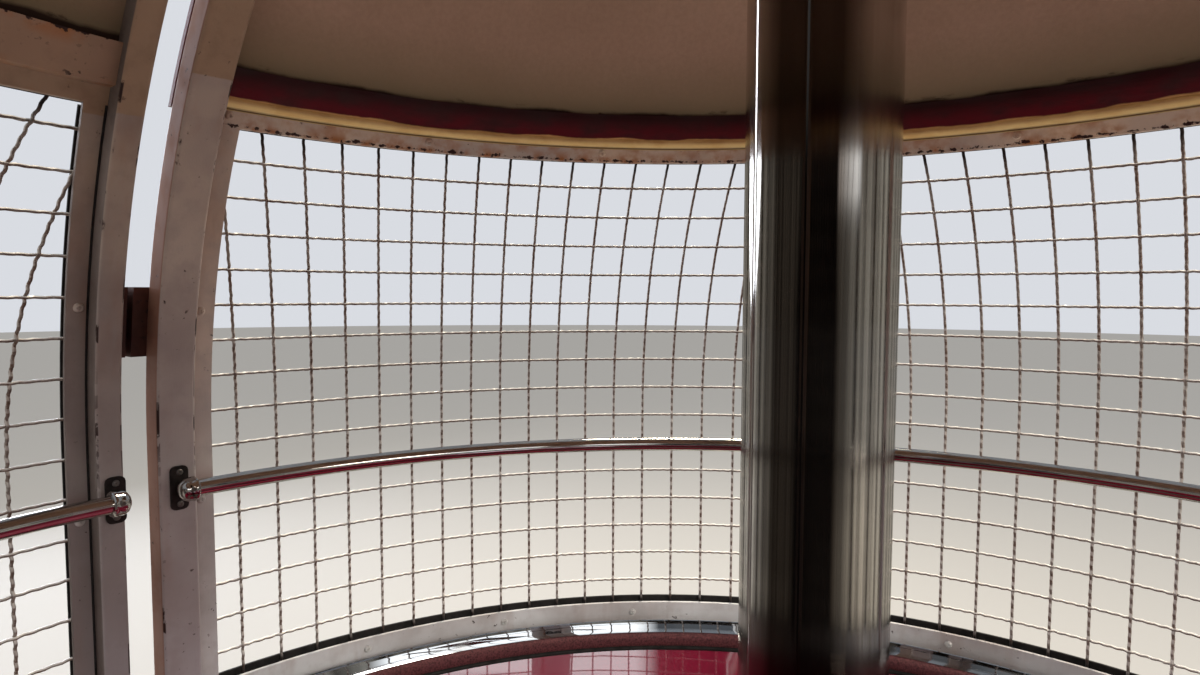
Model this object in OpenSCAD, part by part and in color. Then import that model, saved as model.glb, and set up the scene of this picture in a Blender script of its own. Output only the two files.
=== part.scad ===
// Round wheel gondola: a cone-shaped tub, a cage of woven mesh between curved posts,
// a domed roof and one full-height curved door.
// Z is up, the floor it stands on is z = 0, the pole's axis is the Z axis and the door faces -Y.
// Angles are counted from +X, counter-clockwise seen from above.

/* [Cage] */
// Radius of the cabin, to the outer face of the cage's posts
cage_r = 692; // [620:1:765]
// Depth of a post from its outer face to its inner face
post_d = 28; // [22:1:36]
// Width of a post
post_w = 35; // [30:1:45]
// Width of a stile at the door's sides
stile_w = 22.5; // [20:0.5:32]
// Open gap between a jamb post and the door's stile
jamb_gap = 30; // [24:1:44]
// Height of the mesh between its bands
mesh_h = 577; // [500:1:640]
// Height of the dome's centre above the mesh's lower edge
dome_up = 266; // [230:1:320]
// Width of the flat bars beside the mesh
bar_w = 24; // [18:1:32]
// Width of the door's flat bars
door_bar_w = 18; // [15:1:24]
// Thickness of the flat bars
bar_t = 4; // [3:0.5:6]
// How far the flat bars' outer face lies inside the posts' outer face
bar_set = 4; // [3:0.5:8]
// Height of the band over the mesh
top_band_h = 14; // [12:1:24]
// Height of the band under the mesh
low_band_h = 26; // [20:1:34]
// Width of the rim ring's flat flange
flange_w = 27; // [20:1:34]
// Thickness of the rim ring
ring_t = 3; // [2:0.5:5]

/* [Base] */
// Height of the feet under the base pan
foot_h = 65; // [40:1:100]
// Width of a foot's top plate, along the tub's edge
foot_w = 110; // [70:1:160]
// Length of a foot's top plate, towards the centre
foot_len = 90; // [60:1:140]
// Thickness of a foot's plates
foot_t = 8; // [5:0.5:14]
// Distance of the feet's middle inside the base pan's edge
foot_in = 110; // [80:1:160]
// Height of the base pan
pan_h = 70; // [50:1:110]
// How far the base pan stands out from the tub's foot
pan_lip = 19; // [14:1:40]
// Radius of the pan's rounded lower corner
pan_round = 34; // [15:1:45]
// Sheet thickness of the base pan
pan_t = 4; // [3:0.5:8]
// Thickness of the floor plate
floor_t = 4; // [3:0.5:8]

/* [Tub] */
// How far the tub's rim lies inside the cage's outer face
rim_in = 2; // [1:0.5:6]
// How far the tub's foot lies inside its rim
tub_lean = 159; // [100:1:200]
// Height of the tub from the pan to the rim
tub_h = 720; // [600:1:820]
// Wall thickness of the tub and of the door's panel
tub_t = 6; // [4:0.5:10]
// Gap between the door's panel and the tub
split_gap = 6; // [6:0.5:12]
// Height of the open slot under the door
door_foot_gap = 29; // [15:1:45]
// Depth of the folded edges round the door's panel
return_w = 24; // [15:1:40]
// Width of the strip that covers the tub's cut edge
strip_w = 29; // [20:1:45]
// Thickness of that strip
strip_t = 3; // [2:0.5:5]

/* [Bench] */
// Height of the seat above the floor plate
seat_h = 400; // [330:1:450]
// Depth of the seat from the backrest to its front edge
seat_d = 230; // [180:1:290]
// How far the seat runs on behind the foot of the backrest
seat_under = 40; // [25:1:60]
// How far the backrest's foot lies inside the tub's rim
back_foot_in = 135; // [125:1:165]
// How far the backrest's top lip lies inside the tub's rim
back_top_in = 35; // [30:1:50]
// Wall thickness of the bench and the backrest
bench_t = 5; // [4:0.5:8]
// Radius of the rolled lip on the backrest
lip_r = 9; // [6:0.5:12]
// Distance from the door's split plane to the bench's end panel
bench_end = 60; // [52:1:110]

/* [Mesh] */
// Spacing of the mesh wires
pitch = 37.7; // [34:0.1:60]
// Width of a mesh wire
wire = 3.4; // [3:0.1:4]
// Height of the lowest level wire over the mesh's lower edge, in spacings
first_wire = 0.8; // [0.2:0.05:0.9]
// Height of the door's lowest level wire over the mesh's lower edge, in spacings
door_first_wire = 1.02; // [0.2:0.02:1.04]
// Sideways shift of the front bay's upright wires
front_shift = -7; // [-18:0.1:18]
// Sideways shift of the rear left bay's upright wires
rear_left_shift = 2.2; // [-18:0.1:18]
// Sideways shift of the rear right bay's upright wires
rear_right_shift = -3; // [-18:0.1:18]
// Sideways shift of the right bay's upright wires
right_shift = 6; // [-18:0.1:18]
// How deep the wires sink into each other where they cross
wire_sink = 2; // [1.8:0.1:2.4]
// How far the wires run behind the bands
wire_lap = 10; // [6:1:16]

/* [Handrail] */
// Diameter of the handrail
rail_d = 17; // [14:0.5:22]
// Height of the handrail above the mesh's lower edge
rail_up = 225; // [150:1:260]
// Distance of the handrail's centre line from the posts' inner face
rail_gap = 16; // [14:1:30]
// Diameter of the sockets at the rail's ends
socket_d = 22; // [19:0.5:24]
// Length of a socket
socket_len = 17; // [12:1:24]
// Width of a rail bracket plate
plate_w = 17; // [14:1:17]
// Height of a rail bracket plate
plate_h = 44; // [34:1:52]
// Thickness of a rail bracket plate
plate_t = 3; // [2:0.5:5]
// Width of the neck between a plate and its socket
neck_w = 8; // [6:0.5:12]
// Height of that neck
neck_h = 12; // [8:0.5:16]

/* [Roof] */
// Thickness of the roof's outer shell
roof_t = 5; // [4:0.5:8]
// Thickness of the ceiling shell
ceiling_t = 4; // [3:0.5:6]
// Height of the painted cornice band over the mesh's top band
cornice_h = 36; // [28:1:50]
// Thickness of the cornice
cornice_t = 8; // [5:0.5:12]
// Height of the door's top beam
beam_h = 31; // [24:1:36]
// How far the beam's inner face lies behind the posts' inner face
beam_in = 10; // [4:1:16]
// Gap between the beam and the roof panel over it
beam_gap = 3; // [1:0.5:6]
// Height of the door's head above the mesh's upper edge
head_up = 215; // [150:1:280]
// Thickness of the cross bar over the door
head_bar_h = 30; // [20:1:45]
// Radius of the crown plate on top of the roof
crown_r = 110; // [90:1:160]
// Thickness of the crown plate
crown_t = 10; // [6:1:16]

/* [Pole and hanger] */
// Outer diameter of the centre pole
pole_d = 60.3; // [48:0.1:76]
// Wall thickness of the centre pole
pole_t = 4; // [2:0.5:8]
// Radius of the flange at the pole's foot
pole_flange_r = 85; // [60:1:110]
// Thickness of that flange
pole_flange_t = 10; // [6:1:14]
// Outer radius of the hanger bearing's housing
hub_r = 48; // [40:1:60]
// Radius of the bore that takes the wheel's hanger shaft
hub_bore_r = 25; // [16:1:32]
// Length of the hanger bearing along the shaft
hub_len = 130; // [90:1:180]
// Wall thickness of the sleeve on the pole's head
sleeve_t = 14; // [8:1:20]
// How far the pole stands up into the sleeve
sleeve_grip = 15; // [10:1:30]
// Thickness of the ribs beside the sleeve
rib_t = 12; // [8:1:16]
// Height of the bearing's axis above the crown plate
hub_up = 78; // [70:1:110]

/* [Door hinges] */
// Distance of the hinge axis from the cage's outer face
hinge_out = 41; // [38:1:58]
// Radius of the hinge pin
pin_r = 8; // [6:0.5:10]
// Running clearance round the pins
run_gap = 0.05; // [0.02:0.01:0.1]
// Outer radius of the hinge knuckles
knuckle_r = 16; // [13:0.5:20]
// Height of one hinge, both knuckles together
hinge_h = 68; // [50:1:90]
// Gap between the two knuckles of a hinge
knuckle_gap = 0.3; // [0.2:0.1:1]
// Thickness of a hinge leaf
leaf_t = 12; // [8:0.5:14]
// Gap between the upper hinge's two leaves, in front of its knuckles
leaf_gap = 5; // [3:0.5:8]
// Height of the upper hinge's middle above the mesh's lower edge
upper_hinge_up = 390; // [320:1:410]
// Distance of the lower hinge's middle below the tub's rim
lower_hinge_down = 245; // [180:1:450]

/* [Door latch] */
// Distance of the barrel bolt below the tub's rim
bolt_down = 242; // [180:1:380]
// Radius of the barrel bolt
bolt_r = 8; // [6:0.5:10]
// Length of the barrel bolt
bolt_len = 98; // [90:1:120]
// Distance of the bolt from the tub's cover strip
bolt_clear = 8; // [5:0.5:12]
// Length of the bolt's base plate
housing_len = 83; // [75:1:110]
// Height of the bolt's base plate and keeper
housing_h = 40; // [30:1:60]
// Length of a guide that the bolt runs in
guide_len = 18; // [12:1:24]
// Wall thickness of the guides
guide_wall = 5; // [3:0.5:8]
// How far the bolt's knob stands out from the bolt's axis
knob_out = 34; // [26:1:44]
// Radius of the knob
knob_r = 8; // [6:0.5:11]
// Width of the keepers on the latch side
keeper_w = 22; // [16:1:28]
// Distance of the lever's pivot from the door's edge plane
lever_in = 60; // [50:1:75]
// Length of the latch lever
lever_len = 92; // [80:1:110]
// Width of the latch lever
lever_w = 12; // [9:0.5:16]
// Thickness of the latch lever
lever_t = 8; // [5:0.5:12]
// Radius of the lever's boss
boss_r = 15; // [11:0.5:20]
// Radius of the lever's pin
lever_pin_r = 6; // [4:0.5:8]
// Width of the lever's base block
lever_base_w = 32; // [26:1:44]
// Radius of the door's rubber buffer
buffer_r = 16; // [10:1:24]
// How far the buffer stands out from the tub
buffer_out = 22; // [14:1:34]
// Distance of the buffer from the door's edge plane
buffer_t = 75; // [55:1:120]

/* [Hidden] */
$fn = 200;

big = 3000;
eps = 0.01;
beyond = 10;                       // a cutting body goes this far past the piece it cuts
touch = 0.3;                       // gap between two curved faces that lie on each other
turn = 360;
root = 20;                         // hardware starts this far inside the curved face that trims it
hinge_a = 225;                     // angle of the door's hinge side
latch_a = 315;                     // angle of the door's latch side
bay_a = (turn - latch_a + hinge_a) / 4;   // angle of one bay of the fixed cage
rear_left_a = hinge_a - bay_a;
rear_a = hinge_a - 2 * bay_a;
right_a = hinge_a - 3 * bay_a;

tub_r1 = cage_r - rim_in;
tub_r0 = tub_r1 - tub_lean;
pan_r = tub_r0 + pan_lip;
foot_place_r = pan_r - foot_in;
back_r0 = tub_r1 - back_foot_in;
back_r1 = tub_r1 - back_top_in;
seat_r = back_r0 - seat_d;
hinge_r = cage_r + hinge_out;

pan_z = foot_h;
tub_z = pan_z + pan_h;
rim_z = tub_z + tub_h;
band_z = rim_z + ring_t;           // lower edge of the low band
mesh_z = band_z + low_band_h;      // lower edge of the open mesh
mesh_top = mesh_z + mesh_h;
band_top = mesh_top + top_band_h;
cornice_top = band_top + cornice_h;
eave_z = mesh_top + wire_lap + 1;   // roof's lower edge, just over the wires' ends
beam_top = band_top + beam_h;
head_z = mesh_top + head_up;
dome_z = mesh_z + dome_up;
post_in = cage_r - post_d;
rail_r = post_in - rail_gap;
bar_out = cage_r - bar_set;
bar_in = bar_out - bar_t;
seat_z = tub_z + seat_h;
rail_z = mesh_z + rail_up;
pole_r = pole_d / 2;
roof_in = cage_r + touch;
roof_out = roof_in + roof_t;
crown_z = dome_z + sqrt(roof_out * roof_out - crown_r * crown_r);
crown_top = dome_z + roof_out + crown_t;
hub_z = crown_top + hub_up;
jamb_near = jamb_gap / 2;
jamb_far = jamb_near + post_w;
stile_far = jamb_near + stile_w;
upper_hinge_z = mesh_z + upper_hinge_up;
lower_hinge_z = rim_z - lower_hinge_down;
bolt_z = rim_z - bolt_down;
bolt_x = tub_r(bolt_z) + strip_t + bolt_clear + bolt_r;
knob_y = -jamb_near - housing_len + guide_len + knob_r;
lever_z = band_z + boss_r / 2;
lever_x = cage_r + lever_pin_r;

// Bays: [first post's angle, last post's angle, clear of the first, clear of the last, shift of the upright wires,
// width of the flat bars, height of the lowest level wire in spacings]
front_bay = [rear_left_a, hinge_a, post_w / 2, jamb_far, front_shift, bar_w, first_wire];
rear_left_bay = [rear_a, rear_left_a, post_w / 2, post_w / 2, rear_left_shift, bar_w, first_wire];
rear_right_bay = [right_a, rear_a, post_w / 2, post_w / 2, rear_right_shift, bar_w, first_wire];
right_bay = [latch_a - turn, right_a, jamb_far, post_w / 2, right_shift, bar_w, first_wire];
door_bay = [hinge_a, latch_a, stile_far, stile_far, 0, door_bar_w, door_first_wire];

steel_white = "#b9ada4";
crimson = "#8e1f3c";
maroon = "#4d1219";
beige = "#9b8468";
orange = "#d9a520";
chrome = "#c9ccd0";
iron = "#77706c";

function tub_r(z) = tub_r0 + tub_lean * (z - tub_z) / tub_h;

// Upright slab that holds all points between two distances beside the plane at an angle
module slab(a, t0, t1) rotate(a) translate([0, t0, -1]) cube([big, t1 - t0, big]);

// Everything from angle a0 to a1 (under 180 degrees apart), widened by off0 and off1
module between(a0, a1, off0, off1) intersection() {
  rotate(a0) translate([-big, -off0, -1]) cube([2 * big, big, big]);
  rotate(a1) translate([-big, off1 - big, -1]) cube([2 * big, big, big]);
}

module tube(r0, r1, z0, z1) translate([0, 0, z0]) difference() {
  cylinder(r = r1, h = z1 - z0);
  translate([0, 0, -1]) cylinder(r = r0, h = z1 - z0 + 2);
}

// Slice of a spherical shell round the dome's centre
module dome_zone(r0, r1, z0, z1) intersection() {
  translate([0, 0, dome_z]) difference() {
    sphere(r = r1);
    sphere(r = r0);
  }
  translate([0, 0, z0]) cylinder(r = r1 + beyond, h = z1 - z0);
}

// Wall of the cage: upright up to the dome's centre, then following the dome
module cage_wall(r0, r1, z0, z1) {
  if (z0 < dome_z) tube(r0, r1, z0, min(z1, dome_z));
  if (z1 > dome_z) dome_zone(r0, r1, max(z0, dome_z), z1);
}

// Solid cone that follows the tub, moved out by off
module tub_body(off) translate([0, 0, tub_z]) cylinder(r1 = tub_r(tub_z) + off, r2 = tub_r(rim_z) + off, h = tub_h);

// Conical wall that follows the tub, moved out by off0 (inner face) and off1 (outer face)
module tub_wall(off0, off1, z0, z1) difference() {
  translate([0, 0, z0]) cylinder(r1 = tub_r(z0) + off1, r2 = tub_r(z1) + off1, h = z1 - z0);
  translate([0, 0, z0 - 1]) cylinder(r1 = tub_r(z0 - 1) + off0, r2 = tub_r(z1 + 1) + off0, h = z1 - z0 + 2);
}

module foot_brackets() color(orange) for (a = [45 : 90 : 315]) rotate(a) translate([foot_place_r, 0, 0]) {
  translate([-foot_len / 2, -foot_w / 2, foot_h - foot_t]) cube([foot_len, foot_w, foot_t]);
  translate([-foot_len / 2, -foot_t / 2, foot_t]) cube([foot_len, foot_t, foot_h - 2 * foot_t]);
  translate([-foot_len / 2, -foot_w / 4, 0]) cube([foot_len, foot_w / 2, foot_t]);
}

module base_pan() color(orange) translate([0, 0, pan_z]) difference() {
  union() {
    cylinder(r = pan_r - pan_round, h = pan_h);
    translate([0, 0, pan_round]) cylinder(r = pan_r, h = pan_h - pan_round);
    translate([0, 0, pan_round]) rotate_extrude() translate([pan_r - pan_round, 0]) circle(r = pan_round, $fn = 48);
  }
  translate([0, 0, pan_t]) cylinder(r = pan_r - pan_round, h = pan_h);
  translate([0, 0, pan_round]) cylinder(r = pan_r - pan_t, h = pan_h);
  translate([0, 0, pan_round]) rotate_extrude()
    translate([pan_r - pan_round, 0]) circle(r = pan_round - pan_t, $fn = 48);
}

module floor_plate() color(iron) translate([0, 0, tub_z - floor_t])
  cylinder(r = pan_r - pan_t - touch, h = floor_t);

module tub_shell() color(crimson) difference() {
  tub_wall(-tub_t, 0, tub_z, rim_z);
  between(hinge_a, latch_a, split_gap / 2, split_gap / 2);
}

module jamb_strips() color(crimson) {
  intersection() {
    tub_wall(0, strip_t, tub_z, rim_z);
    slab(hinge_a, -split_gap / 2 - strip_w, -split_gap / 2);
  }
  intersection() {
    tub_wall(0, strip_t, tub_z, rim_z);
    slab(latch_a, split_gap / 2, split_gap / 2 + strip_w);
  }
}

module backrest() color(crimson) difference() {
  union() {
    difference() {
      translate([0, 0, seat_z]) cylinder(r1 = back_r0, r2 = back_r1, h = rim_z - lip_r - seat_z);
      translate([0, 0, seat_z - 1])
        cylinder(r1 = back_r0 - bench_t, r2 = back_r1 - bench_t, h = rim_z - lip_r - seat_z + 2);
    }
    translate([0, 0, rim_z - lip_r]) rotate_extrude() translate([back_r1, 0]) circle(r = lip_r, $fn = 32);
    tube(back_r1, tub_r(rim_z - bench_t) - tub_t - touch, rim_z - bench_t, rim_z);
  }
  between(hinge_a, latch_a, bench_end, bench_end);
}

module bench_seat() color(crimson) difference() {
  union() {
    tube(seat_r, back_r0 + seat_under, seat_z - bench_t, seat_z);
    tube(seat_r, seat_r + bench_t, tub_z, seat_z);
  }
  between(hinge_a, latch_a, bench_end, bench_end);
}

module bench_end(a, t0) intersection() {
  slab(a, t0, t0 + bench_t);
  difference() {
    union() {
      translate([0, 0, tub_z]) cylinder(r1 = tub_r(tub_z) - tub_t - touch, r2 = tub_r(seat_z) - tub_t - touch,
        h = seat_z - tub_z);
      translate([0, 0, seat_z])
        cylinder(r1 = tub_r(seat_z) - tub_t - touch, r2 = tub_r(rim_z) - tub_t - touch, h = rim_z - seat_z);
    }
    translate([0, 0, tub_z - 1]) cylinder(r = seat_r, h = seat_h + 1);
    translate([0, 0, seat_z]) cylinder(r1 = back_r0 - bench_t, r2 = back_r1 - bench_t - touch, h = rim_z - seat_z + 1);
  }
}

module bench_ends() color(crimson) {
  bench_end(hinge_a, -bench_end);
  bench_end(latch_a, bench_end - bench_t);
}

module rim_angle() tube(bar_out - flange_w, bar_out, rim_z, band_z);

module rim_ring() color(steel_white) difference() {
  rim_angle();
  between(hinge_a, latch_a, jamb_near, jamb_near);
}

module post(a, t0, t1, z1) color(steel_white) intersection() {
  cage_wall(post_in, cage_r, band_z, z1);
  slab(a, t0, t1);
}

module bay_frame(bay) color(steel_white) difference() {
  intersection() {
    cage_wall(bar_in, bar_out, band_z, band_top);
    between(bay[0], bay[1], -bay[2], -bay[3]);
  }
  intersection() {
    translate([0, 0, mesh_z]) cylinder(r = big / 2, h = mesh_h);
    between(bay[0], bay[1], -bay[2] - bay[5], -bay[3] - bay[5]);
  }
}

// One upright wire: straight up to the dome's centre, then an arc in its own plane
module upright_wire(u, r, z0, top_a) {
  r_u = sqrt(r * r - u * u);
  translate([r_u - wire / 2, u - wire / 2, z0]) cube([wire, wire, dome_z - z0 + eps]);
  translate([0, u, dome_z]) rotate([90, 0, 0]) rotate_extrude(angle = top_a, $fn = 48)
    translate([r_u - wire / 2, -wire / 2]) square(wire);
}

// One level wire: an arc round the cabin's axis
module level_wire(r, z, a0, a1) translate([0, 0, z - wire / 2]) rotate(a0) rotate_extrude(angle = a1 - a0, $fn = 96)
  translate([r - wire / 2, 0]) square(wire);

// Woven panel of one bay. u is counted across the bay from its middle, half is half the bay's angle,
// and the wires stop edge short of each post.
module mesh_panel(bay, edge = 1) color(iron) {
  half = (bay[1] - bay[0]) / 2;
  up_r = bar_out + touch + wire * 1.5 - wire_sink;
  lev_r = bar_out + touch + wire / 2;
  count = ceil((up_r * sin(half) - min(bay[2], bay[3])) / cos(half) / pitch);
  z0 = mesh_z - wire_lap;
  z1 = mesh_top + wire_lap;
  rotate((bay[0] + bay[1]) / 2) {
    for (k = [-count : count]) {
      u = k * pitch + bay[4];
      clear = (u > 0 ? bay[3] : bay[2]) + edge + wire;
      v_min = (abs(u) * cos(half) + clear) / sin(half);
      v_top = sqrt(up_r * up_r - u * u - pow(z1 - dome_z, 2));
      v_end = max(v_min, v_top);
      r_u = sqrt(up_r * up_r - u * u);
      if (v_min < r_u - 1) upright_wire(u, up_r, z0, acos(v_end / r_u));
    }
    for (s = [bay[6] * pitch : pitch : dome_up + lev_r * asin((mesh_top - dome_z) / lev_r) * PI / 180]) {
      tilt = s < dome_up ? 0 : (s - dome_up) / lev_r * 180 / PI;
      r = lev_r * cos(tilt);
      z = s < dome_up ? mesh_z + s : dome_z + lev_r * sin(tilt);
      level_wire(r, z, -half + asin((bay[2] + edge) / r), half - asin((bay[3] + edge) / r));
    }
  }
}

// Handrail of one bay, with a bracket plate and a socket at each end.
// t0 and t1 are where its plates' middles lie, counted from the end posts' planes into the bay.
module rail(bay, t0, t1) {
  a0 = bay[0] + asin(t0 / rail_r);
  a1 = bay[1] - asin(t1 / rail_r);
  color(chrome) translate([0, 0, rail_z]) rotate(a0) rotate_extrude(angle = a1 - a0)
    translate([rail_r, 0]) circle(d = rail_d, $fn = 32);
  rail_end(bay[0], t0, 1);
  rail_end(bay[1], -t1, -1);
}

module rail_end(a, t, way) rotate(a) translate([0, t, rail_z]) {
  x = sqrt(rail_r * rail_r - t * t);
  face = sqrt(post_in * post_in - pow(abs(t) + plate_w / 2, 2));
  color(chrome) translate([x, 0, 0]) rotate([-90 * way, 0, 0]) cylinder(d = socket_d, h = socket_len, $fn = 32);
  color(chrome) translate([x, -neck_w / 2, -neck_h / 2]) cube([face - x - plate_t + eps, neck_w, neck_h]);
  color(iron) translate([face - plate_t, -plate_w / 2, -plate_h / 2]) cube([plate_t, plate_w, plate_h]);
}

module cornice() color(maroon) difference() {
  dome_zone(cage_r - cornice_t, cage_r, band_top, cornice_top);
  between(hinge_a, latch_a, jamb_far, jamb_far);
}

module ceiling() color(beige) difference() {
  dome_zone(cage_r - ceiling_t, cage_r, cornice_top, dome_z + cage_r + 1);
  intersection() {
    between(hinge_a, latch_a, jamb_far, jamb_far);
    translate([0, 0, dome_z]) cylinder(r = big / 2, h = head_z + head_bar_h - dome_z);
  }
  translate([0, 0, dome_z]) cylinder(r = pole_r + touch, h = cage_r + beyond);
}

module roof_dome() color(crimson) difference() {
  dome_zone(roof_in, roof_out, eave_z, dome_z + roof_out + 1);
  intersection() {
    between(hinge_a, latch_a, jamb_near, jamb_near);
    translate([0, 0, dome_z]) cylinder(r = big / 2, h = head_z + split_gap - dome_z);
  }
  translate([0, 0, dome_z]) cylinder(r = pole_r + touch, h = cage_r + beyond);
}

module door_head() color(steel_white) intersection() {
  dome_zone(post_in, cage_r, head_z + split_gap, head_z + head_bar_h);
  between(hinge_a, latch_a, jamb_near, jamb_near);
}

module crown_plate() color(steel_white) difference() {
  translate([0, 0, crown_z]) cylinder(r = crown_r, h = crown_top - crown_z);
  translate([0, 0, dome_z]) sphere(r = roof_out + touch);
  translate([0, 0, dome_z]) cylinder(r = pole_r + touch, h = big);
}

module hanger_head() color(steel_white) difference() {
  union() {
    translate([0, 0, crown_top]) cylinder(r = pole_r + sleeve_t, h = hub_up - hub_r + sleeve_t);
    translate([0, hub_len / 2, hub_z]) rotate([90, 0, 0]) cylinder(r = hub_r, h = hub_len);
    for (side = [0, 180]) rotate(side) translate([-rib_t / 2, pole_r + sleeve_t - 1, crown_top])
      cube([rib_t, hub_len / 2 - pole_r - sleeve_t - 2, hub_up - hub_r + rib_t / 2]);
  }
  translate([0, hub_len, hub_z]) rotate([90, 0, 0]) cylinder(r = hub_bore_r, h = 2 * hub_len);
  translate([0, 0, crown_top - 1]) cylinder(r = pole_r + touch, h = sleeve_grip + 1);
}

module centre_pole() color(chrome) tube(pole_r - pole_t, pole_r, tub_z, crown_top + sleeve_grip - touch);

module pole_flange() color(chrome) tube(pole_r + touch, pole_flange_r, tub_z, tub_z + pole_flange_t);

// Thick back of a leaf, as high as the whole hinge. Both backs fill the gap between the jamb and the door.
module hinge_block(side, z, x_foot) {
  near = side > 0 ? leaf_gap / 2 : -jamb_near - leaf_t;
  translate([x_foot, near, z - hinge_h / 2])
    cube([hinge_r - knuckle_r - split_gap / 2 - x_foot, jamb_near + leaf_t - leaf_gap / 2, hinge_h]);
}

// Half of a hinge: its knuckle on the pin's axis, and a leaf beside it from x_foot outwards.
// side is -1 for the leaf on the jamb and 1 for the door's.
module hinge_leaf(side, x_foot) {
  half_h = (hinge_h - knuckle_gap) / 2;
  near = side > 0 ? jamb_near : -jamb_near - leaf_t;
  inner = side > 0 ? pin_r : -jamb_near - leaf_t;
  translate([hinge_r, 0, 0]) cylinder(r = knuckle_r, h = half_h);
  translate([x_foot, near, 0]) cube([hinge_r - x_foot, leaf_t, half_h]);
  translate([hinge_r - knuckle_r, inner, 0]) cube([2 * knuckle_r - leaf_t / 2, jamb_near + leaf_t - pin_r, half_h]);
}

module fixed_leaf(z, x_foot) rotate(hinge_a) translate([0, 0, z - hinge_h / 2]) {
  hinge_leaf(-1, x_foot);
  translate([hinge_r, 0, 0]) cylinder(r = pin_r, h = hinge_h);
}

module moving_leaf(z, x_foot) rotate(hinge_a) difference() {
  translate([0, 0, z + knuckle_gap / 2]) hinge_leaf(1, x_foot);
  translate([hinge_r, 0, z - hinge_h]) cylinder(r = pin_r + run_gap, h = 2 * hinge_h);
}

module hinge_fixed_leaves() color(steel_white) {
  difference() {
    union() {
      fixed_leaf(upper_hinge_z, cage_r - root);
      rotate(hinge_a) hinge_block(-1, upper_hinge_z, cage_r - root);
    }
    cylinder(r = cage_r + touch, h = dome_z);
    translate([0, 0, dome_z]) sphere(r = cage_r + touch);
  }
  difference() {
    fixed_leaf(lower_hinge_z, tub_r(lower_hinge_z) - root);
    tub_body(strip_t + touch);
  }
}

module door_hinge_leaves() color(steel_white) {
  difference() {
    union() {
      moving_leaf(upper_hinge_z, cage_r - root);
      rotate(hinge_a) hinge_block(1, upper_hinge_z, cage_r - root);
    }
    cylinder(r = cage_r + touch, h = dome_z);
    translate([0, 0, dome_z]) sphere(r = cage_r + touch);
  }
  difference() {
    moving_leaf(lower_hinge_z, tub_r(lower_hinge_z) - root);
    tub_body(touch);
  }
}

module door_panel() color(crimson) intersection() {
  difference() {
    tub_wall(-return_w, 0, tub_z + door_foot_gap, rim_z);
    intersection() {
      tub_wall(-return_w - beyond, -tub_t, tub_z + door_foot_gap + tub_t, rim_z - tub_t);
      between(hinge_a, latch_a, -split_gap / 2 - tub_t, -split_gap / 2 - tub_t);
    }
  }
  between(hinge_a, latch_a, -split_gap / 2, -split_gap / 2);
}

module door_stiles() color(steel_white) {
  post(hinge_a, jamb_near, stile_far, head_z);
  post(latch_a, -stile_far, -jamb_near, head_z);
}

module door_frame() {
  color(steel_white) intersection() {
    rim_angle();
    between(hinge_a, latch_a, -jamb_near, -jamb_near);
  }
  bay_frame(door_bay);
}

module door_beam() color(steel_white) intersection() {
  dome_zone(post_in + beam_in, bar_out, band_top, beam_top);
  between(hinge_a, latch_a, -stile_far, -stile_far);
}

module door_roof() color(maroon) intersection() {
  dome_zone(bar_in, cage_r, beam_top + beam_gap, head_z);
  between(hinge_a, latch_a, -stile_far, -stile_far);
}

module bolt_housing() color(chrome) rotate(latch_a) difference() {
  union() {
    translate([tub_r(bolt_z) - root, -jamb_near - housing_len, bolt_z - housing_h / 2])
      cube([root + bolt_x - bolt_r - 2 - tub_r(bolt_z), housing_len, housing_h]);
    for (y = [housing_len, guide_len]) translate([bolt_x, -jamb_near - y, bolt_z]) rotate([-90, 0, 0])
      cylinder(r = bolt_r + guide_wall, h = guide_len, $fn = 48);
  }
  tub_body(touch);
  translate([bolt_x, -2 * housing_len, bolt_z]) rotate([-90, 0, 0])
    cylinder(r = bolt_r + run_gap, h = 4 * housing_len, $fn = 48);
}

module barrel_bolt() color(chrome) rotate(latch_a) {
  translate([bolt_x, -jamb_near - housing_len - bolt_r, bolt_z]) rotate([-90, 0, 0])
    cylinder(r = bolt_r, h = bolt_len, $fn = 48);
  translate([bolt_x, knob_y, bolt_z]) rotate([0, 90, 0]) cylinder(r = knob_r / 2, h = knob_out, $fn = 32);
  translate([bolt_x + knob_out, knob_y, bolt_z]) sphere(r = knob_r, $fn = 32);
}

module lever_base() color(chrome) rotate(latch_a) {
  difference() {
    translate([bar_in, -lever_in - lever_base_w / 2, band_z])
      cube([lever_x - bar_in, lever_base_w, boss_r]);
    cylinder(r = bar_out + touch, h = dome_z);
  }
  translate([lever_x - 1, -lever_in, lever_z]) rotate([0, 90, 0])
    cylinder(r = lever_pin_r, h = 1 + lever_t + lever_pin_r, $fn = 48);
}

module latch_lever() color(chrome) rotate(latch_a) translate([lever_x + touch, -lever_in, lever_z])
difference() {
  union() {
    rotate([0, 90, 0]) cylinder(r = boss_r, h = lever_t + 2, $fn = 48);
    translate([1, -lever_w / 2, -lever_len]) cube([lever_t, lever_w, lever_len]);
    translate([1, 0, -lever_len]) rotate([0, 90, 0]) cylinder(r = lever_w * 3 / 4, h = lever_t, $fn = 32);
  }
  translate([-1, 0, 0]) rotate([0, 90, 0]) cylinder(r = lever_pin_r + run_gap, h = 2 * boss_r, $fn = 48);
}

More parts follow.
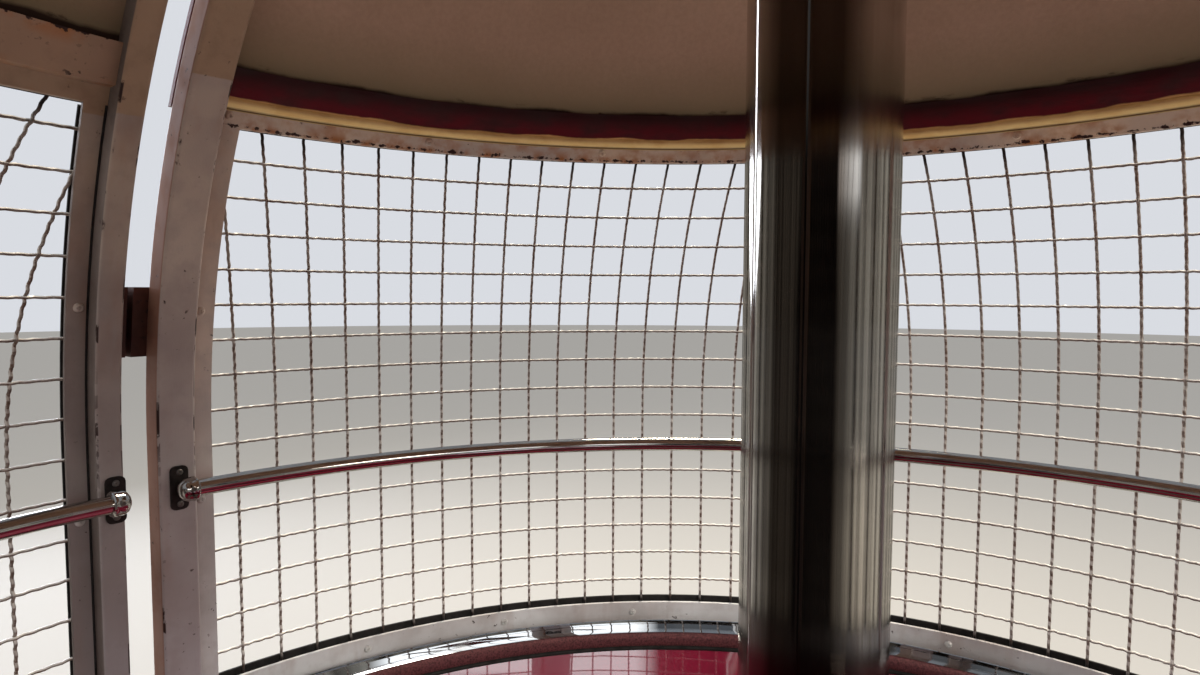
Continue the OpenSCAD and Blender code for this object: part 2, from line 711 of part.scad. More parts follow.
// Keeper that the bolt slides into, and the hooked one that the lever turns up under
module latch_keepers() color(chrome) rotate(latch_a) {
  difference() {
    translate([tub_r(bolt_z) - root, split_gap / 2 + 2, bolt_z - housing_h / 2])
      cube([root + bolt_x + bolt_r + guide_wall - tub_r(bolt_z), keeper_w, housing_h]);
    tub_body(strip_t + touch);
    translate([bolt_x, 0, bolt_z]) rotate([-90, 0, 0]) cylinder(r = bolt_r + 1, h = 3 * keeper_w, $fn = 48);
  }
  difference() {
    translate([cage_r - root, jamb_near + 2, lever_z - boss_r])
      cube([root + lever_x - cage_r + 2.5 * lever_t, keeper_w, 2 * boss_r + 4]);
    cylinder(r = cage_r + touch, h = dome_z);
    tub_body(strip_t + touch);
    translate([lever_x - lever_t / 2, jamb_near, lever_z - 2 * boss_r])
      cube([2 * lever_t, 2 * keeper_w, 2 * boss_r + lever_w]);
  }
}

module door_buffer() color("#1c1c1c") rotate(latch_a) difference() {
  translate([tub_r(bolt_z) - 2 * root, buffer_t, bolt_z]) rotate([0, 90, 0])
    cylinder(r = buffer_r, h = 2 * root + buffer_out, $fn = 48);
  tub_body(touch);
}

foot_brackets();
base_pan();
floor_plate();
tub_shell();
jamb_strips();
backrest();
bench_seat();
bench_ends();
rim_ring();
post(hinge_a, -jamb_far, -jamb_near, head_z + head_bar_h);  // post_hinge_jamb
post(rear_left_a, -post_w / 2, post_w / 2, band_top);  // post_rear_left
post(rear_a, -post_w / 2, post_w / 2, band_top);  // post_rear
post(right_a, -post_w / 2, post_w / 2, band_top);  // post_right
post(latch_a, jamb_near, jamb_far, head_z + head_bar_h);  // post_latch_jamb
bay_frame(front_bay);  // frame_front_bay
bay_frame(rear_left_bay);  // frame_rear_left_bay
bay_frame(rear_right_bay);  // frame_rear_right_bay
bay_frame(right_bay);  // frame_right_bay
mesh_panel(front_bay);  // mesh_front_bay
mesh_panel(rear_left_bay);  // mesh_rear_left_bay
mesh_panel(rear_right_bay);  // mesh_rear_right_bay
mesh_panel(right_bay);  // mesh_right_bay
rail(front_bay, post_w / 4, jamb_near + post_w / 2);  // rail_front_bay
rail(rear_left_bay, post_w / 4, post_w / 4);  // rail_rear_left_bay
rail(rear_right_bay, post_w / 4, post_w / 4);  // rail_rear_right_bay
rail(right_bay, jamb_near + post_w / 2, post_w / 4);  // rail_right_bay
cornice();
ceiling();
roof_dome();
door_head();
crown_plate();
hanger_head();
centre_pole();
pole_flange();
hinge_fixed_leaves();
latch_keepers();
door_buffer();
door_panel();
door_stiles();
door_frame();
mesh_panel(door_bay);  // door_mesh
door_beam();
door_roof();
rail(door_bay, jamb_near + plate_w / 2, jamb_near + plate_w / 2);  // door_rail
door_hinge_leaves();
bolt_housing();
lever_base();
barrel_bolt();
latch_lever();
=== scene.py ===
"""Looks of the ferris wheel gondola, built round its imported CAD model.

Lengths are millimetres in the CAD's frame until a mesh is finished, and heights count from the floor.
Angles are degrees from +X, counter-clockwise from above, as in the part's source.
"""
import math
from collections import namedtuple

import bmesh
import bpy
from bmesh.types import BMEdge, BMFace, BMVert
from mathutils import Matrix, Vector, noise


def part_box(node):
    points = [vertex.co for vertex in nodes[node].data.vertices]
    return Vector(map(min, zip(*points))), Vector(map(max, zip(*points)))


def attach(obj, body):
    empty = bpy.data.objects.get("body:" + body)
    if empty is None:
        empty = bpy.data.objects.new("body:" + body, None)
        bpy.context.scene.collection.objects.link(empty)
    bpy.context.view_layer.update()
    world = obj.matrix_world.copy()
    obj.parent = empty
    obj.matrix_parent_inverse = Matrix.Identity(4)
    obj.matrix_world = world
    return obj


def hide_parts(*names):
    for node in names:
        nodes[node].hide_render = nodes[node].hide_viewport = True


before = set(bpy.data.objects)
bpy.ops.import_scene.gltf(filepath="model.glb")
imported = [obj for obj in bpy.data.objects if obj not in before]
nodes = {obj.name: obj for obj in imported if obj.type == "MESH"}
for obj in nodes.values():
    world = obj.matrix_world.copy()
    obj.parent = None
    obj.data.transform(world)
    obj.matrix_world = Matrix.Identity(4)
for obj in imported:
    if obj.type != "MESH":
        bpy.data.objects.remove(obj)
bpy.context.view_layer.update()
scene = bpy.context.scene
MM = 0.001


def low(name):
    """Height of a node's lowest point, in millimetres."""
    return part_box(name)[0].z / MM


def high(name):
    """Height of a node's highest point, in millimetres."""
    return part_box(name)[1].z / MM


# Driving sizes, as in the part's source
HINGE_A = 225
LATCH_A = 315
BAY_A = (360 - LATCH_A + HINGE_A) / 4
REAR_LEFT_A = HINGE_A - BAY_A
REAR_A = HINGE_A - 2 * BAY_A
RIGHT_A = HINGE_A - 3 * BAY_A
CAGE_R = 692
POST_D = 28
POST_W = 35
STILE_W = 22.5
JAMB_NEAR = 15
HEAD_BAR_H = 30
BAR_W = 24
DOOR_BAR_W = 18
BAR_T = 4
BAR_SET = 4
FLANGE_W = 27
LOW_BAND_H = 26
MESH_H = 577
DOME_UP = 266
PITCH = 37.7
FIRST_WIRE = 0.8
RAIL_UP = 225
RAIL_D = 17
RAIL_GAP = 16
PLATE_W, PLATE_H, PLATE_T = 17, 44, 3
RIM_IN = 2
TUB_LEAN = 159
STRIP_T = 3
BACK_TOP_IN = 35
LIP_R = 9
BENCH_END = 60
BOLT_DOWN = 242
BOLT_R = 8
BOLT_CLEAR = 8
GUIDE_WALL = 5

# Places that follow from them, read from the frame where it has them
BAND_Z = low("post_rear")
MESH_Z = BAND_Z + LOW_BAND_H
MESH_TOP = MESH_Z + MESH_H
BAND_TOP = high("post_rear")
CORNICE_TOP = high("cornice")
RIM_Z = high("tub_shell")
TUB_Z = low("tub_shell")
HEAD_Z = high("door_stiles")
DOME_Z = MESH_Z + DOME_UP
RAIL_Z = MESH_Z + RAIL_UP
POST_IN = CAGE_R - POST_D
JAMB_FAR = JAMB_NEAR + POST_W
STILE_FAR = JAMB_NEAR + STILE_W
BAR_OUT = CAGE_R - BAR_SET
BAR_IN = BAR_OUT - BAR_T
FLANGE_IN = BAR_OUT - FLANGE_W
RAIL_R = POST_IN - RAIL_GAP

# A bay lies between two posts' planes. near_first and near_last are its bars' distances from them, shift
# moves its upright wires, and first_wire is its lowest level wire's height over the band, in openings
Bay = namedtuple("Bay", "first last near_first near_last shift bar_w first_wire")
HALF_POST = POST_W / 2
BAYS = {
    "front_bay": Bay(REAR_LEFT_A, HINGE_A, HALF_POST, JAMB_FAR, -7.0, BAR_W, FIRST_WIRE),
    "rear_left_bay": Bay(REAR_A, REAR_LEFT_A, HALF_POST, HALF_POST, 2.2, BAR_W, FIRST_WIRE),
    "rear_right_bay": Bay(RIGHT_A, REAR_A, HALF_POST, HALF_POST, -3.0, BAR_W, FIRST_WIRE),
    "right_bay": Bay(LATCH_A - 360, RIGHT_A, JAMB_FAR, HALF_POST, 6.0, BAR_W, FIRST_WIRE),
}
DOOR_BAY = Bay(HINGE_A, LATCH_A, STILE_FAR, STILE_FAR, 0.0, DOOR_BAR_W, 1.02)


# Materials

def linear(hex_colour):
    """An sRGB hex value as a linear colour."""
    parts = [int(hex_colour[i:i + 2], 16) / 255 for i in (1, 3, 5)]
    return [c / 12.92 if c <= 0.04045 else ((c + 0.055) / 1.055) ** 2.4 for c in parts] + [1.0]


def add(tree, kind, inputs=(), **settings):
    """Adds a node with its settings. Each input is a value, or another node's output to link."""
    made = tree.nodes.new("ShaderNode" + kind)
    for name, value in settings.items():
        setattr(made, name, value)
    for key, value in dict(inputs).items():
        if isinstance(value, bpy.types.NodeSocket):
            tree.links.new(value, made.inputs[key])
        else:
            made.inputs[key].default_value = value
    return made


def surface(name, **shader_inputs):
    """An empty material with its Principled shader. Returns the material, its tree and the shader."""
    material = bpy.data.materials.new(name)
    material.use_nodes = True
    tree = material.node_tree
    tree.nodes.clear()
    inputs = {key.replace("_", " "): value for key, value in shader_inputs.items()}
    shader = add(tree, "BsdfPrincipled", inputs)
    add(tree, "OutputMaterial", {"Surface": shader.outputs[0]})
    return material, tree, shader


def blotches(tree, place, size_mm, detail, edge, soft, seed=0.0, stretch=(1, 1, 1)):
    """Mask of noise blotches about size_mm wide: 1 where the noise is well over edge, 0 well under it, soft
    between. seed moves the pattern, and a stretch under 1 draws it out along an axis."""
    moved = add(tree, "Mapping", {"Vector": place, "Location": (seed, seed * 0.7, -seed), "Scale": stretch})
    clouds = add(tree, "TexNoise", {
        "Vector": moved.outputs[0], "Scale": 1000 / size_mm, "Detail": detail, "Roughness": 0.6})
    mask = add(tree, "MapRange", {
        "Value": clouds.outputs[0], "From Min": edge - soft, "From Max": edge + soft},
        interpolation_type="SMOOTHSTEP")
    return mask.outputs[0]


def both(tree, first, second):
    """Mask of where two masks meet, or one mask thinned by a number."""
    return add(tree, "Math", {0: first, 1: second}, operation="MULTIPLY").outputs[0]


def either(tree, first, second):
    """Mask of where at least one of two masks is."""
    return add(tree, "Math", {0: first, 1: second}, operation="MAXIMUM").outputs[0]


def mixed(tree, share, first, second, most=1.0):
    """Colour that goes from first to second with a mask, but never further than the share most."""
    colours = [linear(c) if isinstance(c, str) else c for c in (first, second)]
    if most < 1:
        share = both(tree, share, most)
    return add(tree, "Mix", {0: share, 6: colours[0], 7: colours[1]}, data_type="RGBA").outputs[2]


def by_height(tree, place, low_mm, high_mm, below, above, waver_mm=0.0):
    """Colour that goes from one to the other between two heights, along a line that can waver."""
    height = add(tree, "SeparateXYZ", {0: place}).outputs["Z"]
    if waver_mm:
        hand = add(tree, "TexNoise", {"Vector": place, "Scale": 1000 / 60, "Detail": 4})
        waver = add(tree, "MapRange", {
            "Value": hand.outputs[0], "From Min": 0.3, "From Max": 0.7,
            "To Min": -waver_mm * MM, "To Max": waver_mm * MM})
        height = add(tree, "Math", {0: height, 1: waver.outputs[0]}, operation="ADD").outputs[0]
    share = add(tree, "MapRange", {"Value": height, "From Min": low_mm * MM, "From Max": high_mm * MM})
    return mixed(tree, share.outputs[0], below, above)


def near_height(tree, place, z_mm, reach_mm):
    """Mask that is 1 at a height and falls to 0 at reach_mm from it."""
    height = add(tree, "SeparateXYZ", {0: place}).outputs["Z"]
    away = add(tree, "Math", {0: height, 1: z_mm * MM}, operation="SUBTRACT")
    apart = add(tree, "Math", {0: away.outputs[0]}, operation="ABSOLUTE")
    near = add(tree, "MapRange", {"Value": apart.outputs[0], "From Min": reach_mm * MM, "From Max": 0})
    return near.outputs[0]


def outward(tree, place):
    """Level direction from the cabin's axis to a place."""
    flat = add(tree, "VectorMath", {0: place, 1: (1, 1, 0)}, operation="MULTIPLY")
    return add(tree, "VectorMath", {0: flat.outputs[0]}, operation="NORMALIZE").outputs[0]


def paint(tree, shader, colour, mask, smooth, rough):
    """Gives the shader its colour, and a roughness that goes from smooth to rough with a mask."""
    gloss = add(tree, "MapRange", {"Value": mask, "To Min": smooth, "To Max": rough})
    tree.links.new(colour, shader.inputs["Base Color"])
    tree.links.new(gloss.outputs[0], shader.inputs["Roughness"])


def grain(tree, place, size_mm, detail, strength, depth_mm, stretch=(1, 1, 1)):
    """Normal of a fine relief about size_mm wide and depth_mm deep, drawn out where a stretch is under 1."""
    moved = add(tree, "Mapping", {"Vector": place, "Scale": stretch})
    relief = add(tree, "TexNoise", {"Vector": moved.outputs[0], "Scale": 1000 / size_mm, "Detail": detail})
    bump = add(tree, "Bump", {"Height": relief.outputs[0], "Strength": strength, "Distance": depth_mm * MM})
    return bump.outputs[0]


def side_share(tree, coordinates):
    """How far a face looks along the wall: 0 on faces that look in, out, up or down, 1 on side faces."""
    way = outward(tree, coordinates.outputs["Object"])
    across = add(tree, "VectorMath", {0: way, 1: (0, 0, 1)}, operation="CROSS_PRODUCT")
    facing = add(tree, "VectorMath", {0: coordinates.outputs["Normal"], 1: across.outputs[0]},
                 operation="DOT_PRODUCT")
    return add(tree, "Math", {0: facing.outputs["Value"]}, operation="ABSOLUTE").outputs[0]


def corner_flakes(tree, place, sideways):
    """Mask of paint flaked off along a post's corners, most where it is knocked over the handrail."""
    corner = add(tree, "MapRange", {"Value": sideways, "From Min": 0.30, "From Max": 0.45})
    not_side = add(tree, "MapRange", {"Value": sideways, "From Min": 0.97, "From Max": 0.9})
    flakes = blotches(tree, place, 16, 5, 0.60, 0.03, 6.6, (1, 1, 0.45))
    knocks = blotches(tree, place, 13, 5, 0.50, 0.02, 2.6)
    knocked = both(tree, near_height(tree, place, RAIL_Z + 62, 70), knocks)
    along_edge = both(tree, corner.outputs[0], not_side.outputs[0])
    return both(tree, along_edge, either(tree, flakes, knocked))


def rusting_rim(tree, place, z_mm):
    """Two masks of a rusting edge at a height: the orange stain round it, and its bitten dark core."""
    spread_out = blotches(tree, place, 30, 4, 0.54, 0.10, z_mm * MM)
    halo = both(tree, near_height(tree, place, z_mm, 11), spread_out)
    pits = blotches(tree, place, 8, 5, 0.56, 0.2, 2 + z_mm * MM)
    core = add(tree, "Math", {0: near_height(tree, place, z_mm, 4.5), 1: pits}, operation="ADD")
    bitten = add(tree, "MapRange", {"Value": core.outputs[0], "From Min": 1.18, "From Max": 1.3})
    return halo, bitten.outputs[0]


def worn_enamel(name, high_coat, low_coat, stain, rust, chip_edge=0.66, side=None, joint=0, rims=()):
    """Hand-brushed alkyd enamel on mild steel, years outdoors: satin, with brush marks that run up and down,
    grey stains, rust freckles and chips down to brown scale. It looks warmer high up. side is the colours of
    a post's side faces, joint the height of a newer coat's upper end, rims the heights of rusting edges."""
    material, tree, shader = surface(name)
    coordinates = add(tree, "TexCoord")
    place = coordinates.outputs["Object"]
    large = blotches(tree, place, 170, 3, 0.5, 0.22, 3.1)
    small = blotches(tree, place, 22, 5, 0.56, 0.14, 7.7)
    runs = blotches(tree, place, 60, 4, 0.60, 0.10, 5.2, (1, 1, 0.16))
    coat = by_height(tree, place, MESH_Z + 60, MESH_TOP - 40, low_coat, high_coat)
    colour = mixed(tree, large, coat, stain, 0.8)
    colour = mixed(tree, small, colour, stain, 0.3)
    colour = mixed(tree, runs, colour, rust, 0.3)
    if joint:
        older = mixed(tree, small, "#9b8069", "#846a54", 0.5)
        colour = by_height(tree, place, joint, joint + 1, colour, older, 1.5)
    freckles = blotches(tree, place, 7, 6, chip_edge, 0.025, 1.3)
    zones = blotches(tree, place, 120, 3, 0.52, 0.08, 9.4)
    chips = both(tree, freckles, zones)
    if side:
        sideways = side_share(tree, coordinates)
        on_side = add(tree, "MapRange", {"Value": sideways, "From Min": 0.86, "From Max": 0.96}).outputs[0]
        colour = mixed(tree, on_side, colour, mixed(tree, large, side[0], side[1]))
        chips = either(tree, chips, corner_flakes(tree, place, sideways))
        sheen = add(tree, "MapRange", {"Value": on_side, "To Min": 0.4, "To Max": 0.1})
        tree.links.new(sheen.outputs[0], shader.inputs["Specular IOR Level"])
    for z_mm in rims:
        halo, bitten = rusting_rim(tree, place, z_mm)
        colour = mixed(tree, halo, colour, "#a0622e")
        chips = either(tree, chips, bitten)
    paint(tree, shader, mixed(tree, chips, colour, "#2f1711"), small, 0.42, 0.64)
    marks = grain(tree, place, 1.2, 2, 0.18, 0.4, (1, 1, 0.05))
    edge = add(tree, "Bump", {"Height": chips, "Strength": 0.5, "Distance": 0.5 * MM, "Normal": marks},
               invert=True)
    tree.links.new(edge.outputs[0], shader.inputs["Normal"])
    return material


def gelcoat(name, coat, deep, rough=0.16, polish=0.06, gloss_ior=1.5):
    """Glass fibre laid up in a mould, with a glossy pigmented gelcoat: wet highlights, a slight print-through
    of the mat, a little chalking, and thin dirt that runs down from the rim. polish is the top layer's
    roughness, lowest where backs rub it, and gloss_ior how strongly that layer mirrors."""
    material, tree, shader = surface(name, Coat_Weight=1.0, Coat_Roughness=polish, Coat_IOR=gloss_ior)
    place = add(tree, "TexCoord").outputs["Object"]
    chalk = blotches(tree, place, 420, 3, 0.5, 0.3, 2.2)
    runs = blotches(tree, place, 26, 5, 0.62, 0.10, 6.1, (1, 1, 0.07))
    specks = blotches(tree, place, 5, 3, 0.71, 0.03, 3.7)
    colour = mixed(tree, runs, mixed(tree, chalk, coat, deep), "#3b1a1c", 0.1)
    colour = mixed(tree, specks, colour, "#2d1214", 0.6)
    paint(tree, shader, colour, chalk, rough, rough + 0.1)
    tree.links.new(grain(tree, place, 9, 3, 0.08, 0.5), shader.inputs["Normal"])
    return material


def grease_and_shade(tree, place, held_way):
    """What darkens a pole: grease on the side that hands hold, dark low down and thin at head height, less
    on the other side, and painted shade over their reach, under the roof."""
    facing = add(tree, "VectorMath", {0: outward(tree, place), 1: held_way}, operation="DOT_PRODUCT")
    held = add(tree, "MapRange", {"Value": facing.outputs["Value"], "From Min": 0.72, "From Max": 0.93})
    hands_z, clean_z, thin_z, shade_z = 1050, 1250, 1350, 1450
    film = mixed(tree, held.outputs[0], by_height(tree, place, hands_z, clean_z, "#8d867e", "#ffffff"),
                 by_height(tree, place, hands_z, thin_z, "#2b2622", "#6f6863"))
    # Painted shade: above the riders' reach the pole darkens towards the roof.
    return by_height(tree, place, shade_z, shade_z + 110, film, "#6a6058")


def polished_steel(name, tint, rough, drawn, smudge, handled=None):
    """Stainless tube polished on a belt while it turned: mirror-like, with hair-fine lines round the tube
    that draw reflections out along it, and faint hand smudges. drawn is how strongly, from 0 to 1. handled is
    the angle of the side that is held, which a greasy film covers, with painted shade high up."""
    material, tree, shader = surface(name, Metallic=1.0, Anisotropic=drawn, Anisotropic_Rotation=0.25)
    place = add(tree, "TexCoord").outputs["Object"]
    hands = blotches(tree, place, 75, 4, 0.62, 0.12, 4.4)
    colour = mixed(tree, hands, tint, "#a9a6a2")
    if handled is not None:
        film = grease_and_shade(tree, place, (math.cos(handled), math.sin(handled), 0))
        colour = add(tree, "Mix", {0: 1.0, 6: colour, 7: film}, data_type="RGBA",
                     blend_type="MULTIPLY").outputs[2]
    paint(tree, shader, colour, hands, rough, rough + smudge)
    return material


def woven_wire():
    """Crimped galvanised wire: brown with rust underneath, a painted highlight along its upper side, black
    near both ends."""
    material, tree, shader = surface("galvanised_wire", Metallic=0.15)
    coordinates = add(tree, "TexCoord")
    place = coordinates.outputs["Object"]
    upward = add(tree, "SeparateXYZ", {0: coordinates.outputs["Normal"]}).outputs["Z"]
    height = add(tree, "SeparateXYZ", {0: place}).outputs["Z"]
    rust = blotches(tree, place, 26, 5, 0.5, 0.12, 1.7)
    flecks = blotches(tree, place, 3, 3, 0.55, 0.1, 8.1)
    colour = mixed(tree, flecks, mixed(tree, rust, "#8f857e", "#6d5549"), "#b9b0a6", 0.5)
    # Painted highlight: the upper side of each wire turns near white, as if lit from above.
    highlit_top = add(tree, "MapRange", {"Value": upward, "From Min": 0.0, "From Max": 0.4, "To Max": 0.95})
    colour = mixed(tree, highlit_top.outputs[0], colour, "#f7f3ec")
    top = add(tree, "MapRange", {
        "Value": height, "From Min": (MESH_TOP - 26) * MM, "From Max": (MESH_TOP - 6) * MM})
    foot = add(tree, "MapRange", {
        "Value": height, "From Min": (MESH_Z + 16) * MM, "From Max": (MESH_Z + 2) * MM})
    colour = mixed(tree, either(tree, top.outputs[0], foot.outputs[0]), colour, "#1d1413")
    paint(tree, shader, colour, rust, 0.38, 0.75)
    return material


def ceiling_paint(name, outside=None):
    """Beige emulsion rolled over rough glass mat: matt and stippled, with painted shade along its lower edge.
    outside is the gelcoat's colour on the other face of a single shell."""
    material, tree, shader = surface(name, Roughness=0.85, Specular_IOR_Level=0.25)
    coordinates = add(tree, "TexCoord")
    place = coordinates.outputs["Object"]
    cloud = blotches(tree, place, 240, 4, 0.5, 0.25, 2.9)
    stipple = blotches(tree, place, 5, 4, 0.5, 0.3, 3.3)
    colour = mixed(tree, stipple, mixed(tree, cloud, "#ad8e7b", "#9b7e6b"), "#6f5a48", 0.22)
    # Painted shade: darker and more olive towards the lower edge.
    colour = by_height(tree, place, CORNICE_TOP + 4, CORNICE_TOP + 60, "#7f6f57", colour)
    # Dark ragged marks along the lower edge: painted shade in the corner over the cornice, with some black
    # mould.
    ragged_marks = blotches(tree, place, 30, 6, 0.60, 0.03, 5.0, (1, 1, 4))
    ragged_edge = both(tree, ragged_marks, near_height(tree, place, CORNICE_TOP + 1, 6))
    colour = mixed(tree, ragged_edge, colour, "#33231b")
    # Painted shade: a dark wavering line where the ceiling meets the cornice.
    colour = by_height(tree, place, CORNICE_TOP + 1, CORNICE_TOP + 4, "#33231b", colour, 2.0)
    if outside:
        from_centre = add(tree, "VectorMath", {0: place, 1: (0, 0, -DOME_Z * MM)}, operation="ADD")
        facing = add(tree, "VectorMath", {0: coordinates.outputs["Normal"], 1: from_centre.outputs[0]},
                     operation="DOT_PRODUCT")
        out = add(tree, "MapRange", {"Value": facing.outputs["Value"], "From Min": -0.1, "From Max": 0.0})
        paint(tree, shader, mixed(tree, out.outputs[0], colour, outside), out.outputs[0], 0.85, 0.3)
    else:
        tree.links.new(colour, shader.inputs["Base Color"])
    tree.links.new(grain(tree, place, 5, 4, 0.35, 1.5), shader.inputs["Normal"])
    return material


def cornice_paint():
    """Two brushed gloss paints on the cornice: dark red over cream, met by a wavering freehand line. The red
    darkens upwards with painted shade, and a dark line at the foot is painted shade of a gap, with rust.
    """
    material, tree, shader = surface("brushed_red_and_cream", Specular_IOR_Level=0.5)
    place = add(tree, "TexCoord").outputs["Object"]
    strokes = blotches(tree, place, 14, 4, 0.55, 0.2, 2.0, (0.4, 0.4, 1))
    cream = by_height(tree, place, BAND_TOP + 5, BAND_TOP + 8, mixed(tree, strokes, "#f4d896", "#e8c47e"),
                      mixed(tree, strokes, "#d3a86c", "#b98a50"))
    # Painted shade: the red darkens upwards to near black under the ceiling's edge.
    red = by_height(tree, place, BAND_TOP + 17, CORNICE_TOP - 4, mixed(tree, strokes, "#5a0f1a", "#3e0a10"),
                    "#240a09")
    colour = by_height(tree, place, BAND_TOP + 11, BAND_TOP + 12.3, cream, red, 1.6)
    # A dark line at the cornice's foot: painted shade in the gap over the band, with rust spots.
    colour = mixed(tree, near_height(tree, place, BAND_TOP + 1.2, 1.6), colour, "#3a2013")
    paint(tree, shader, colour, strokes, 0.28, 0.5)
    tree.links.new(grain(tree, place, 2.5, 3, 0.4, 0.6, (0.15, 0.15, 1)), shader.inputs["Normal"])
    return material


def plain(name, colour, second, rough, metallic=0.0, size_mm=20):
    """A uniform finish with a little mottling: rubber, oiled fittings, painted floor."""
    material, tree, shader = surface(name, Metallic=metallic)
    place = add(tree, "TexCoord").outputs["Object"]
    spots = blotches(tree, place, size_mm, 5, 0.52, 0.2, 1.1)
    paint(tree, shader, mixed(tree, spots, colour, second), spots, rough, rough + 0.2)
    return material


# Enamel on the cage's steel: pinkish cream, chipped, with brown primer on the posts' sides
post_paint = worn_enamel("brushed_white_enamel", "#c2b09f", "#b0a9ad", "#938481", "#8a5636", 0.67,
                         side=("#9b7565", "#7d5748"), joint=BAND_TOP + 18)
# On the stiles, the darker grey of the side faces is painted shade on the same enamel.
stile_paint = worn_enamel("patched_white_enamel", "#b3a08f", "#a19b9f", "#847875", "#8a5636", 0.70,
                          side=("#7d726d", "#5f544f"), joint=MESH_TOP - 9)
frame_paint = worn_enamel("rust_freckled_enamel", "#dbc0a4", "#dedfe1", "#a59d9b", "#7d4c30", 0.66,
                          rims=(MESH_TOP + 2, BAND_TOP + 3))
beam_paint = worn_enamel("rust_spotted_enamel", "#a8886f", "#a8886f", "#876c5a", "#9a5428", 0.62,
                         rims=(MESH_TOP + 7.6, MESH_TOP + 45))
steel_paint = worn_enamel("white_outside_enamel", "#c4bcb4", "#c4bcb4", "#a79f9a", "#83543a", 0.64)
# The same enamel in orange-yellow on the base, streaked with rust, and rust alone on the hinges
yellow_paint = worn_enamel("rust_streaked_yellow_enamel", "#dba320", "#dba320", "#c08c1d", "#7a3d12", 0.60)
rusty_paint = worn_enamel("rusted_hinge_steel", "#5f3325", "#5f3325", "#3f2119", "#2a1510", 0.60)
# Gelcoat: glossy crimson outside, rubbed to a mirror on the bench, and duller maroon on the roof
crimson_gelcoat = gelcoat("crimson_gelcoat", "#9b1c3f", "#7e1532")
seat_gelcoat = gelcoat("rubbed_crimson_gelcoat", "#9b1c3f", "#7e1532", 0.16, 0.015, 2.2)
maroon_gelcoat = gelcoat("maroon_gelcoat", "#7a1c2c", "#5e1420", 0.26, 0.16)
# Polished steel: a greasy pole with drawn-out streaks, bright rails, duller chrome on the latch, a mirror rim
pole_steel = polished_steel("belt_polished_pole", "#c3c0bb", 0.08, 0.8, 0.04, math.radians(-33))
bright_tube = polished_steel("polished_stainless", "#bdbab6", 0.06, 0.0, 0.06)
bright_fittings = polished_steel("chromed_fittings", "#c9c8c6", 0.16, 0.0, 0.22)
flange_steel = polished_steel("polished_rim", "#b2b4b6", 0.01, 0.0, 0.03)
# Woven wire, the rolled ceiling, the roof over the door in one shell, and the two-coloured cornice
wire_zinc = woven_wire()
beige_paint = ceiling_paint("rolled_beige_paint")
roof_paints = ceiling_paint("beige_under_maroon", "#6c1826")
red_and_cream = cornice_paint()
# Small parts: dark brass with a dull gleam, near-black clamp steel and seams, the same near-black for a
# painted shadow line, a rough brown edging
dark_fitting = plain("blackened_brass", "#332b29", "#1b1615", 0.42, 0.6, 9)
near_black_and_shadow = plain("near_black_steel_and_shadow", "#15110f", "#0c0a09", 0.7, 0.0, 12)
rough_edging = plain("rough_brown_edging", "#5e2b2f", "#351519", 0.8, 0.0, 2.2)
# Screws: pale satin zinc, and worn grey ones in the dark plates
zinc_screws = plain("zinc_plated_screws", "#dedddb", "#b3b1ae", 0.25, 0.1, 5)
dull_screws = plain("worn_plate_screws", "#7a736e", "#57514d", 0.35, 0.5, 5)
# Matt black rubber, half-gloss vinyl of the number, and grey deck paint scuffed in patches
rubber = plain("black_rubber", "#1b1b1c", "#26262a", 0.62)
black_vinyl = plain("black_vinyl", "#161514", "#22201f", 0.35)
floor_paint = plain("grey_deck_paint", "#6f6b69", "#5d5855", 0.55, 0.0, 45)

FINISHES = {
    post_paint: ("post_hinge_jamb", "post_rear_left", "post_rear", "post_right", "post_latch_jamb"),
    stile_paint: ("door_stiles", "door_frame"),
    beam_paint: ("door_beam",),
    frame_paint: ["frame_" + bay for bay in BAYS],
    flange_steel: ("rim_ring",),
    steel_paint: ("door_head", "crown_plate", "hanger_head"),
    rusty_paint: ("hinge_fixed_leaves", "door_hinge_leaves"),
    yellow_paint: ("foot_brackets", "base_pan"),
    crimson_gelcoat: ("tub_shell", "jamb_strips", "door_panel"),
    seat_gelcoat: ("backrest", "bench_seat", "bench_ends"),
    maroon_gelcoat: ("roof_dome",),
    roof_paints: ("door_roof",),
    beige_paint: ("ceiling",),
    red_and_cream: ("cornice",),
    pole_steel: ("centre_pole", "pole_flange"),
    bright_tube: ["rail_" + bay for bay in BAYS] + ["door_rail"],
    bright_fittings: ("latch_keepers", "bolt_housing", "lever_base", "barrel_bolt", "latch_lever"),
    wire_zinc: ["mesh_" + bay for bay in BAYS] + ["door_mesh"],
    rubber: ("door_buffer",),
    floor_paint: ("floor_plate",),
}
for finish, names in FINISHES.items():
    for name in names:
        nodes[name].data.materials.clear()
        nodes[name].data.materials.append(finish)


# Shapes

def keep(name, mesh, material, body, replaced=()):
    """Makes a finished mesh a piece that rides on a body."""
    piece = bpy.data.objects.new(name, mesh)
    scene.collection.objects.link(piece)
    mesh.materials.clear()
    mesh.materials.append(material)
    for polygon in mesh.polygons:
        polygon.use_smooth = True
    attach(piece, body)
    if replaced:
        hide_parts(*replaced)
    return piece


def from_bmesh(name, bm, material, body, replaced=(), smooth_deg=35):
    """Finishes a bmesh drawn in millimetres: closed, normals outwards, sharp edges marked."""
    bmesh.ops.remove_doubles(bm, verts=bm.verts, dist=0.005)
    bmesh.ops.recalc_face_normals(bm, faces=bm.faces)
    bmesh.ops.scale(bm, vec=(MM, MM, MM), verts=bm.verts)
    for edge in bm.edges:
        edge.smooth = len(edge.link_faces) == 2 and edge.calc_face_angle(0) < math.radians(smooth_deg)
    mesh = bpy.data.meshes.new(name)
    bm.to_mesh(mesh)
    bm.free()
    return keep(name, mesh, material, body, replaced)


